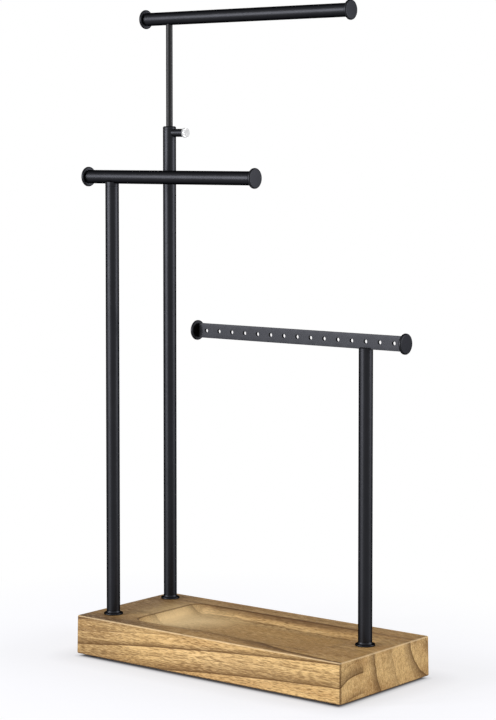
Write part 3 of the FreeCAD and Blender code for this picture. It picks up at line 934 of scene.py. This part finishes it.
@dataclass
class Finishes:
    """Every material of the stand, made once."""

    coat: Material
    rod: Material
    hole_coat: Material
    wood: Material
    rubbed_wood: Material
    stained_wood: Material
    knob: Material
    knob_rim: Material
    zinc: Material
    rubber: Material
    plastic: Material

    @classmethod
    def make(cls) -> "Finishes":
        """Build all the materials.

        Returns:
            The set of them.
        """
        return cls(
            coat=BlackCoat().make(),
            rod=BlackCoat("satin_black_rod", colour=(0.0235, 0.0235, 0.0245), roughness=0.45).make(),
            # Painted shade: a darker, duller copy of the coat for the walls inside the strip's holes.
            hole_coat=BlackCoat(
                "dull_black_in_holes", colour=(0.008, 0.008, 0.01), edge=(0.01, 0.01, 0.01), roughness=0.7
            ).make(),
            wood=OiledWood().make(),
            rubbed_wood=OiledWood("oiled_wood_rubbed", WoodFace.RUBBED).make(),
            stained_wood=OiledWood("oiled_wood_stained", WoodFace.STAINED).make(),
            knob=BrightSteel("nickel_knob", (0.74, 0.74, 0.745), 0.07).make(),
            # Painted shade: a darker copy of the knob's nickel for the fluted rim, with a rougher surface.
            knob_rim=BrightSteel("nickel_knob_rim", (0.36, 0.36, 0.365), 0.34).make(),
            zinc=BrightSteel("zinc_screws", (0.52, 0.52, 0.50), 0.42).make(),
            rubber=SoftPolymer("pad_rubber", (0.02, 0.02, 0.022), 0.805).make(),
            plastic=SoftPolymer("guide_plastic", (0.03, 0.03, 0.03), 0.555).make(),
        )


def dress_node(node: str, material: Material) -> None:
    """Give a node of the frame that keeps its own mesh a material in every slot.

    Args:
        node: The node's name.
        material: The material.
    """
    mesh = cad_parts[node].data
    if not mesh.materials:
        mesh.materials.append(material)
    for index in range(len(mesh.materials)):
        mesh.materials[index] = material
    LOG.info("%s: dressed as %s", node, material.name)


# ------------------------------------------------------------------ wood base


@dataclass
class WoodBase:
    """The block with its tray, the pads under it and the screws hidden in its counterbores."""

    finishes: Finishes
    length: float = 250
    width: float = 110
    draft: float = 0.51
    corner: float = 2
    edge_round: float = 0.8
    bottom_bevel: float = 0.8
    tray_low: tuple[float, float] = (-82, -39)
    tray_high: tuple[float, float] = (88, 37.5)
    tray_depth: float = 7
    tray_corner: float = 10.5
    wall_run: float = 6.5
    rim_round: float = 0.8
    cove: float = 3.05
    corner_steps: int = 8
    corner_past: float = 100
    corner_tilt: float = 0.2
    corner_spread: float = 0.62
    rim_lift: float = 1
    bore: float = 12
    bore_depth: float = 8
    bore_steps: int = 32

    def turns_corner(self, face: BMFace) -> bool:
        """Tell whether an upright face lies on one of the block's four outer corners.

        Args:
            face: The face.

        Returns:
            True if it does.
        """
        upright = abs(face.normal.z) < self.corner_tilt
        slanting = abs(abs(face.normal.x) - abs(face.normal.y)) < self.corner_spread
        return upright and slanting and face.calc_center_median().length > self.corner_past

    def build_block(self) -> None:
        """Build the block from level outlines joined one to the next, then round its edges."""
        extent = Extent.of("wood_base")
        low, top = extent.low.z, extent.high.z
        tray_middle = tuple((a + b) / 2 for a, b in zip(self.tray_low, self.tray_high))
        tray_half = tuple((b - a) / 2 for a, b in zip(self.tray_low, self.tray_high))
        floor_half = tuple(side - self.wall_run for side in tray_half)
        bm = bmesh.new()
        outline = (self.length / 2, self.width / 2)
        narrowed = tuple(side - self.draft for side in outline)
        steps = self.corner_steps
        bottom = rounded_loop(bm, outline, (0, 0), low, self.corner, steps)
        shoulder = rounded_loop(bm, narrowed, (0, 0), top, self.corner - self.draft, steps)
        rim = rounded_loop(bm, tray_half, tray_middle, top + self.rim_lift, self.tray_corner, steps)
        floor_corner = self.tray_corner - self.wall_run
        floor = rounded_loop(bm, floor_half, tray_middle, top - self.tray_depth, floor_corner, steps)
        for first, second in ((bottom, shoulder), (shoulder, rim), (rim, floor)):
            bmesh.ops.bridge_loops(bm, edges=first + second)
        rim_verts = list({vert for edge in rim for vert in edge.verts})
        bmesh.ops.translate(bm, vec=(0, 0, -self.rim_lift), verts=rim_verts)
        bmesh.ops.contextual_create(bm, geom=bottom)
        bmesh.ops.contextual_create(bm, geom=floor)
        bmesh.ops.recalc_face_normals(bm, faces=bm.faces[:])
        for face in bm.faces:
            if self.turns_corner(face):
                face.material_index = WoodFace.STAINED.value
        # The tray rim and the bottom edge are darkened as painted shade: a dark line under the back rim and a
        # dark line along the foot of the block. The rounded top edges are lightened, as wear and as a painted
        # highlight.
        for loop, size, segments, finish in (
            (floor, self.cove, 8, WoodFace.PLAIN),
            (rim, self.rim_round, 3, WoodFace.STAINED),
            (shoulder, self.edge_round, 3, WoodFace.RUBBED),
            (bottom, self.bottom_bevel, 2, WoodFace.STAINED),
        ):
            for face in round_edges(bm, [edge for edge in loop if edge.is_valid], size, segments):
                face.material_index = finish.value
        self.sink_bores(bm, low)
        woods = [self.finishes.wood, self.finishes.rubbed_wood, self.finishes.stained_wood]
        finish_piece(bm, "wood_block", "root", woods, "wood_base")

    def sink_bores(self, bm: BMesh, low: float) -> None:
        """Open the block's underside for the three counterbores and draw their walls up into it.

        Args:
            bm: The block's mesh.
            low: The underside's height.
        """
        level = [face for face in bm.faces if abs(face.calc_center_median().z - low) < NEAR]
        bottom = max(level, key=BMFace.calc_area)
        outline = list(bottom.edges)
        bmesh.ops.delete(bm, geom=[bottom], context="FACES_ONLY")
        mouths: list[BMEdge] = []
        for post in POSTS:
            centre = Extent.of(f"{post}_post_screw").middle
            made = bmesh.ops.create_circle(bm, cap_ends=False, segments=self.bore_steps, radius=self.bore / 2)
            ring = made["verts"]
            bmesh.ops.translate(bm, vec=(centre.x, centre.y, low), verts=ring)
            mouths.extend({edge for vert in ring for edge in vert.link_edges})
        rims = outline + mouths
        bmesh.ops.triangle_fill(bm, use_beauty=True, use_dissolve=False, edges=rims, normal=(0, 0, -1))
        drawn = bmesh.ops.extrude_edge_only(bm, edges=mouths)["geom"]
        deep = [item for item in drawn if isinstance(item, BMVert)]
        bmesh.ops.translate(bm, vec=(0, 0, self.bore_depth), verts=deep)
        edges = [item for item in drawn if isinstance(item, BMEdge)]
        ends = [edge for edge in edges if all(vert in deep for vert in edge.verts)]
        bmesh.ops.holes_fill(bm, edges=ends, sides=0)
        bmesh.ops.recalc_face_normals(bm, faces=bm.faces[:])

    def build(self) -> None:
        """Build the block and dress what stays from the frame."""
        self.build_block()
        for side in ("front", "back"):
            for end in ("left", "right"):
                dress_node(f"{side}_{end}_foot", self.finishes.rubber)


# ------------------------------------------------------------------ posts


@dataclass
class Post:
    """One upright tube with its flared flange; its screw and washer stay from the frame."""

    finishes: Finishes
    name: str
    steps: int = 72
    wall: float = 1
    lip: float = 0.25
    rim_dia: float = 14.6
    rim_high: float = 1.4
    flare: float = 1.5
    waist_dia: float = 11.4
    plug: float = 16
    rim_round: float = 0.6
    waist_round: float = 0.5

    def build_tube(self) -> None:
        """Build the tube between its two ends."""
        node = f"{self.name}_post_tube"
        extent = Extent.of(node)
        outer = extent.size.x / 2
        bm = cylinder(outer, extent.size.z, self.steps, outer - self.wall)
        for height in (0, extent.size.z):
            round_ring(bm, outer, height, self.lip, 2)
        place(bm, extent.foot)
        finish_piece(bm, f"{self.name}_post", "root", [self.finishes.coat], node)

    def build_flange(self) -> None:
        """Build the flange with its rounded rim and the neck that sweeps up to the tube."""
        node = f"{self.name}_post_foot"
        tube = Extent.of(f"{self.name}_post_tube").size.x / 2
        rim = self.rim_dia / 2
        waist = self.waist_dia / 2
        top = self.rim_high + self.flare
        inner = tube - self.wall - SLIP
        bm = lathe(
            [
                (0, 0),
                (rim, 0),
                (rim, self.rim_high),
                (waist, self.rim_high),
                (tube, top),
                (inner, top),
                (inner, top + self.plug),
                (0, top + self.plug),
            ],
            self.steps,
        )
        round_ring(bm, rim, self.rim_high, self.rim_round, 4)
        round_ring(bm, rim, 0, self.lip, 2)
        round_ring(bm, waist, self.rim_high, self.waist_round, 4)
        place(bm, Extent.of(node).foot)
        finish_piece(bm, f"{self.name}_flange", "root", [self.finishes.coat], node)

    def build(self) -> None:
        """Build the post and dress its hidden fixings."""
        self.build_tube()
        self.build_flange()
        dress_node(f"{self.name}_post_screw", self.finishes.zinc)
        dress_node(f"{self.name}_post_washer", self.finishes.zinc)


# ------------------------------------------------------------------ bars


@dataclass
class EndDisc:
    """The rounded disc on one end of a bar or of the strip, with a plug behind it where there is a tube."""

    finishes: Finishes
    node: str
    name: str
    body: str
    end: Along
    plug_radius: float = 0
    plug_long: float = 8
    thick: float = 2.4
    rim_round: float = 1
    steps: int = 72

    def build(self) -> None:
        """Build the disc."""
        extent = Extent.of(self.node)
        radius = extent.size.z / 2
        plug = [(0, -self.plug_long), (self.plug_radius, -self.plug_long), (self.plug_radius, 0)]
        start = plug if self.plug_radius else [(0, 0)]
        bm = lathe([*start, (radius, 0), (radius, self.thick), (0, self.thick)], self.steps)
        for height in (0, self.thick):
            round_ring(bm, radius, height, self.rim_round, 6)
        seat = extent.high.x - self.thick if self.end is Along.RIGHT else extent.low.x + self.thick
        place(bm, Vector((seat, extent.middle.y, extent.middle.z)), self.end)
        finish_piece(bm, self.name, self.body, [self.finishes.coat], self.node)


@dataclass
class CappedBar:
    """A level tube with a rounded disc pushed into each end."""

    finishes: Finishes
    name: str
    body: str
    steps: int = 72
    wall: float = 1

    def build_tube(self) -> None:
        """Build the tube."""
        extent = Extent.of(self.name)
        outer = extent.size.y / 2
        bm = cylinder(outer, extent.size.x, self.steps, outer - self.wall)
        place(bm, Vector((extent.low.x, extent.middle.y, extent.high.z - outer)), Along.RIGHT)
        finish_piece(bm, f"{self.name}_tube", self.body, [self.finishes.coat], self.name)

    def build(self) -> None:
        """Build the bar and both discs."""
        self.build_tube()
        plug = Extent.of(self.name).size.y / 2 - self.wall - SLIP
        for end in (Along.LEFT, Along.RIGHT):
            stem = f"{self.name}_{end.value}"
            EndDisc(self.finishes, f"{stem}_cap", f"{stem}_disc", self.body, end, plug).build()


# ------------------------------------------------------------------ telescoping rod and clamp


class KnobPart(Enum):
    """A part of the knob's surface, as its place in the knob's list of materials."""

    FACE = 0
    RIM = 1


@dataclass
class RodAndClamp:
    """The sliding rod, the rounded guide in the tall tube's end, and the clamp with its thumb screw."""

    finishes: Finishes
    steps: int = 64
    guide_head: float = 2.6
    guide_plug: float = 12
    guide_round: float = 1.2
    wall: float = 1
    journal_dia: float = 4
    journal_spare: float = 0.1
    rod_bevel: float = 0.4
    mouth_bevel: float = 0.15
    boss_bevel: float = 0.3
    knob_dia: float = 7.4
    knob_thick: float = 2.8
    knob_bevel: float = 0.25
    flutes: int = 30
    flute_steps: int = 6
    flute_depth: float = 0.28
    shank_dia: float = 3
    shank_steps: int = 40
    shank_sunk: float = 0.3

    def build_rod(self) -> None:
        """Build the rod, with the narrower journal that its sleeve turns on."""
        extent = Extent.of("extension_rod")
        sleeve = Extent.of("rod_guide_bush")
        radius = extent.size.x / 2
        high = extent.size.z
        narrow = self.journal_dia / 2
        step = sleeve.high.z - extent.low.z + self.journal_spare
        profile = [(0, 0), (narrow, 0), (narrow, step), (radius, step), (radius, high), (0, high)]
        bm = lathe(profile, self.steps)
        round_ring(bm, radius, high, self.rod_bevel, 2)
        place(bm, extent.foot)
        finish_piece(bm, "rod", "extension", [self.finishes.rod], "extension_rod")

    def build_guide(self) -> None:
        """Build the guide's rounded head and its plug, with the bore that the rod runs in."""
        extent = Extent.of("tall_post_guide")
        tube = Extent.of("tall_post_tube").size.x / 2
        plug = tube - self.wall - SLIP
        bore = Extent.of("extension_rod").size.x / 2 + SLIP
        seat = -self.guide_head
        foot = seat - self.guide_plug
        profile = [(bore, foot), (plug, foot), (plug, seat), (tube, seat), (tube, 0), (bore, 0)]
        bm = lathe(profile, self.steps, closed=True)
        round_ring(bm, tube, 0, self.guide_round, 6)
        round_ring(bm, bore, 0, self.mouth_bevel, 2)
        place(bm, Vector((extent.middle.x, extent.middle.y, extent.high.z)))
        finish_piece(bm, "rod_guide", "root", [self.finishes.coat], "tall_post_guide")

    def build_boss(self) -> None:
        """Build the boss on the tall tube's side, with the bore that the thumb screw runs in."""
        extent = Extent.of("clamp_boss")
        radius = extent.size.z / 2
        long = extent.size.x
        bore = self.shank_dia / 2 + SLIP
        bm = cylinder(radius, long, self.steps, bore)
        round_ring(bm, radius, long, self.boss_bevel, 3)
        round_ring(bm, bore, long, self.mouth_bevel, 2)
        place(bm, extent.left, Along.RIGHT)
        finish_piece(bm, "boss", "root", [self.finishes.coat], "clamp_boss")

    def fluted_knob(self) -> BMesh:
        """Make the knob: a fluted circle drawn up to its thickness, with its edges bevelled.

        Returns:
            The knob, standing on the origin.
        """
        radius = self.knob_dia / 2
        bm = bmesh.new()
        points = self.flutes * self.flute_steps
        for vert in bmesh.ops.create_circle(bm, cap_ends=True, segments=points, radius=radius)["verts"]:
            angle = math.atan2(vert.co.y, vert.co.x)
            dip = max(0.0, math.cos(angle * self.flutes)) ** 2 * self.flute_depth
            vert.co.xy *= (radius - dip) / radius
        raised = bmesh.ops.extrude_face_region(bm, geom=bm.faces[:])
        lifted = [item for item in raised["geom"] if isinstance(item, BMVert)]
        bmesh.ops.translate(bm, vec=(0, 0, self.knob_thick), verts=lifted)
        bmesh.ops.recalc_face_normals(bm, faces=bm.faces[:])
        for face in bm.faces:
            if stands_upright(face):
                face.material_index = KnobPart.RIM.value
        level = [edge for edge in bm.edges if abs(edge.verts[0].co.z - edge.verts[1].co.z) < NEAR]
        for face in round_edges(bm, level, self.knob_bevel, 2):
            outer = face.calc_center_median().z > self.knob_thick / 2
            face.material_index = (KnobPart.FACE if outer else KnobPart.RIM).value
        return bm

    def build_thumb_screw(self) -> None:
        """Build the thumb screw: its knob on a plain shank."""
        extent = Extent.of("thumb_screw")
        bm = self.fluted_knob()
        seat = Vector((extent.high.x - self.knob_thick, extent.middle.y, extent.middle.z))
        place(bm, seat, Along.RIGHT)
        long = extent.size.x - self.knob_thick + self.shank_sunk
        shank = cylinder(self.shank_dia / 2, long, self.shank_steps)
        place(shank, extent.left, Along.RIGHT)
        merge_in(bm, shank)
        # The rim takes the darker copy of the nickel: painted shade.
        steels = [self.finishes.knob, self.finishes.knob_rim]
        finish_piece(bm, "clamp_knob", "thumb_screw", steels, "thumb_screw")

    def build(self) -> None:
        """Build the rod, its guide and the clamp, and dress the hidden pieces."""
        self.build_rod()
        self.build_guide()
        self.build_boss()
        self.build_thumb_screw()
        dress_node("rod_guide_bush", self.finishes.plastic)
        dress_node("thumb_screw_tip", self.finishes.plastic)
        dress_node("rod_end_screw", self.finishes.zinc)


# ------------------------------------------------------------------ saddle and earring strip


@dataclass
class BarSaddle:
    """The hollowed seat between the middle post and its bar."""

    finishes: Finishes

    def build(self) -> None:
        """Dress the saddle, whose hollow comes with the frame."""
        dress_node("middle_post_saddle", self.finishes.coat)


class StripPart(Enum):
    """A part of the strip's surface, as its place in the strip's list of materials."""

    OUTSIDE = 0
    HOLE_WALL = 1


@dataclass
class EarringStrip:
    """The flat strip with a row of holes, a disc on each end and the slotted cap that it stands in."""

    finishes: Finishes
    pitch: float = 12.26
    count: int = 15
    hole_dia: float = 2.9
    hole_steps: int = 32
    edge_bevel: float = 0.25
    edge_zone: float = 1
    crisp_angle: float = 1.2

    def add_cell(self, bm: BMesh, middle: float, half_tall: float) -> None:
        """Add one hole with the square of strip round it, as quads between two loops.

        Args:
            bm: The strip's mesh.
            middle: The hole's place along the strip.
            half_tall: Half the strip's height.
        """
        made = bmesh.ops.create_circle(bm, cap_ends=False, segments=self.hole_steps, radius=self.hole_dia / 2)
        hole = list({edge for vert in made["verts"] for edge in vert.link_edges})
        corners = [bm.verts.new((x * self.pitch / 2, y * half_tall, 0)) for x, y in SQUARE]
        sides = [bm.edges.new((corners[number], corners[(number + 1) % 4])) for number in range(4)]
        made = bmesh.ops.subdivide_edges(bm, edges=sides, cuts=self.hole_steps // 4 - 1)
        split = [item for item in made["geom"] if isinstance(item, BMEdge)]
        outer = list({*split, *[edge for edge in sides if edge.is_valid]})
        bmesh.ops.bridge_loops(bm, edges=hole + outer)
        verts = list({vert for edge in hole + outer for vert in edge.verts})
        bmesh.ops.translate(bm, vec=(middle, 0, 0), verts=verts)

    def build_strip(self) -> None:
        """Build the strip: a row of cells, drawn out to both ends and given its thickness."""
        extent = Extent.of("earring_strip")
        half_tall = extent.size.z / 2
        half_long = extent.size.x / 2
        bm = bmesh.new()
        row = self.pitch * (self.count - 1) / 2
        for number in range(self.count):
            self.add_cell(bm, number * self.pitch - row, half_tall)
        bmesh.ops.remove_doubles(bm, verts=bm.verts[:], dist=WELD)
        reach = row + self.pitch / 2
        for sign in (-1, 1):
            tip = sign * reach
            end = [edge for edge in bm.edges if all(abs(vert.co.x - tip) < NEAR for vert in edge.verts)]
            drawn = bmesh.ops.extrude_edge_only(bm, edges=end)
            verts = [item for item in drawn["geom"] if isinstance(item, BMVert)]
            bmesh.ops.translate(bm, vec=(sign * (half_long - reach), 0, 0), verts=verts)
        raised = bmesh.ops.extrude_face_region(bm, geom=bm.faces[:])
        verts = [item for item in raised["geom"] if isinstance(item, BMVert)]
        bmesh.ops.translate(bm, vec=(0, 0, extent.size.y), verts=verts)
        bmesh.ops.recalc_face_normals(bm, faces=bm.faces[:])
        bmesh.ops.dissolve_limit(bm, angle_limit=1e-4, verts=[], edges=[])
        # The walls inside the holes take the darker coat: painted shade.
        for face in bm.faces:
            middle = face.calc_center_median()
            within = abs(middle.y) < half_tall - self.edge_zone and abs(middle.x) < half_long - self.edge_zone
            part = StripPart.HOLE_WALL if stands_upright(face) and within else StripPart.OUTSIDE
            face.material_index = part.value
        inner = [edge for edge in bm.edges if len(edge.link_faces) == 2]
        rims = [edge for edge in inner if edge.calc_face_angle(0) > self.crisp_angle]
        round_edges(bm, rims, self.edge_bevel, 2)
        bmesh.ops.transform(bm, matrix=Matrix.Rotation(math.pi / 2, 4, "X"), verts=bm.verts[:])
        place(bm, Vector((extent.middle.x, extent.high.y, extent.middle.z)))
        coats = [self.finishes.coat, self.finishes.hole_coat]
        finish_piece(bm, "strip", "root", coats, "earring_strip")

    def build(self) -> None:
        """Build the strip and its discs, and dress the slotted cap."""
        self.build_strip()
        for end in (Along.LEFT, Along.RIGHT):
            side = end.value
            EndDisc(self.finishes, f"earring_{side}_disc", f"strip_{side}_disc", "root", end).build()
        dress_node("earring_post_cap", self.finishes.coat)


# ------------------------------------------------------------------ studio


@dataclass(frozen=True)
class Lamp:
    """A soft rectangular lamp that stands round the object and faces it."""

    name: str
    bearing_deg: float
    distance: float
    height: float
    width: float
    tall: float
    watts: float
    aim_height: float = 0.22

    def build(self) -> None:
        """Add the lamp; its bearing is counted from the front towards the right end."""
        light = bpy.data.lights.new(self.name, "AREA")
        light.shape = "RECTANGLE"
        light.size = self.width
        light.size_y = self.tall
        light.energy = self.watts
        lamp = bpy.data.objects.new(self.name, light)
        angle = math.radians(self.bearing_deg)
        lamp.location = (self.distance * math.sin(angle), -self.distance * math.cos(angle), self.height)
        aim = Vector((0, 0, self.aim_height)) - lamp.location
        lamp.rotation_euler = aim.to_track_quat("-Z", "Y").to_euler()
        lamp.visible_camera = False
        bpy.context.scene.collection.objects.link(lamp)


@dataclass
class Studio:
    """Pale floor, white surround, soft lamps and the camera."""

    azimuth_deg: float = 38.706
    pitch_deg: float = 3.0
    place_m: tuple[float, float, float] = (0.9998, -1.2491, 0.3869)
    lens_mm: float = 108.25
    shift_y: float = -0.1367
    sensor_mm: float = 36
    clip_m: tuple[float, float] = (0.05, 50)
    lamps: tuple[Lamp, ...] = (
        Lamp("front_softbox", bearing_deg=-17, distance=2.2, height=0.42, width=0.63, tall=0.86, watts=28.5),
        Lamp("left_strip", bearing_deg=-38, distance=2.6, height=0.77, width=0.44, tall=1.34, watts=40),
        Lamp("side_softbox", bearing_deg=121, distance=2.0, height=0.5, width=1.2, tall=1.0, watts=29),
    )
    ambient: float = 0.42
    # Glow by distance from the block's outline: almost none at the block, a painted contact shadow, rising to
    # white away from it.
    floor_glow: tuple[tuple[float, float], ...] = (
        (0, 0.02),
        (0.002, 0.32),
        (0.005, 0.64),
        (0.03, 0.745),
        (0.1, 0.77),
        (0.26, 1.0),
    )
    # The floor's colour also dims at the block, as part of the painted contact shadow.
    floor_tone: tuple[tuple[float, float], ...] = ((0, 0.16), (0.005, 0.26), (0.1, 0.26), (0.26, 0.0))
    floor_tint: Colour = (0.95, 0.95, 1.1)
    floor_grey: Colour = (0.8, 0.8, 0.82)
    floor_half: float = 8
    # Just inside the block's outline; the painted contact shadow is drawn round it.
    footprint: tuple[float, float, float] = (0.1208, 0.0515, 0)

    def build_camera(self) -> None:
        """Stand the camera in front of the right end, looking slightly down."""
        data = bpy.data.cameras.new("camera")
        data.sensor_fit = "VERTICAL"
        data.sensor_height = self.sensor_mm
        data.lens = self.lens_mm
        data.shift_y = self.shift_y
        data.clip_start, data.clip_end = self.clip_m
        camera = bpy.data.objects.new("camera", data)
        azimuth = math.radians(self.azimuth_deg)
        pitch = math.radians(self.pitch_deg)
        level = math.cos(pitch)
        facing = Vector((-math.sin(azimuth) * level, math.cos(azimuth) * level, -math.sin(pitch)))
        camera.location = self.place_m
        camera.rotation_euler = facing.to_track_quat("-Z", "Y").to_euler()
        bpy.context.scene.collection.objects.link(camera)
        bpy.context.scene.camera = camera

    def build_floor(self) -> None:
        """Lay a large pale floor that keeps the object's shadow and fades to white away from it; its glow and
        its colour dim close to the block, a painted contact shadow.
        """
        bm = bmesh.new()
        bmesh.ops.create_grid(bm, x_segments=1, y_segments=1, size=self.floor_half)
        mesh = bpy.data.meshes.new("floor")
        bm.to_mesh(mesh)
        bm.free()
        floor = bpy.data.objects.new("floor", mesh)
        bpy.context.scene.collection.objects.link(floor)
        bench = NodeBench.fresh("pale_floor")
        tree = bench.material.node_tree
        tree.nodes.remove(bench.surface)
        output = next(node for node in tree.nodes if node.type == "OUTPUT_MATERIAL")
        coords = bench.vectors("ABSOLUTE", bench.add("TexCoord").outputs["Object"])
        outside = bench.vectors("MAXIMUM", bench.vectors("SUBTRACT", coords, self.footprint))
        distance = bench.vectors("LENGTH", outside)
        tones = [(at, tinted(self.floor_tint, tone)) for at, tone in self.floor_tone]
        shade = bench.add("BsdfDiffuse", Color=bench.ramp(distance, tones))
        glow = bench.add("Emission", Color=(1, 1, 1, 1), Strength=bench.ramp(distance, self.floor_glow))
        shown = bench.add("AddShader")
        bench.feed(shown, 0, shade.outputs[0])
        bench.feed(shown, 1, glow.outputs[0])
        plain = bench.add("BsdfDiffuse", Color=(*self.floor_grey, 1))
        mix = bench.add("MixShader")
        bench.feed(mix, 0, bench.seen_directly())
        bench.feed(mix, 1, plain.outputs[0])
        bench.feed(mix, 2, shown.outputs[0])
        bench.feed(output, "Surface", mix.outputs[0])
        mesh.materials.append(bench.material)

    def build_world(self) -> None:
        """White where it is seen or mirrored, a dimmer even light elsewhere."""
        world = bpy.data.worlds.new("surround")
        world.use_nodes = True
        bench = NodeBench(world)
        background = next(node for node in world.node_tree.nodes if node.type == "BACKGROUND")
        background.inputs["Color"].default_value = (1, 1, 1, 1)
        strength = bench.add("MapRange", Value=bench.seen_directly(), To_Min=self.ambient, To_Max=1.0)
        bench.feed(background, "Strength", strength.outputs["Result"])
        bpy.context.scene.world = world

    def build(self) -> None:
        """Build the whole studio."""
        self.build_world()
        self.build_floor()
        self.build_camera()
        for lamp in self.lamps:
            lamp.build()
        bpy.context.scene.view_settings.view_transform = "Standard"


class SubAssembly(Protocol):
    """Anything that main builds."""

    def build(self) -> None:
        """Build it."""


def write_sizes() -> None:
    """Define the helper that turns a box into two plain lists of numbers; neither the frame's box nor the
    finished model's box is written.
    """

    def plain(bounds: object) -> list[list[float]]:
        """A box as two lists of numbers."""
        return [[float(part) for part in corner] for corner in bounds]


def main() -> None:
    """Build every sub-assembly in order, then the studio."""
    logging.basicConfig(level=logging.INFO, format="%(message)s")
    finishes = Finishes.make()
    assemblies: list[SubAssembly] = [
        WoodBase(finishes),
        *(Post(finishes, name) for name in POSTS),
        RodAndClamp(finishes),
        CappedBar(finishes, "top_bar", "extension"),
        CappedBar(finishes, "middle_bar", "root"),
        BarSaddle(finishes),
        EarringStrip(finishes),
        Studio(),
    ]
    for assembly in assemblies:
        assembly.build()
    write_sizes()


if __name__ == "__main__":
    main()
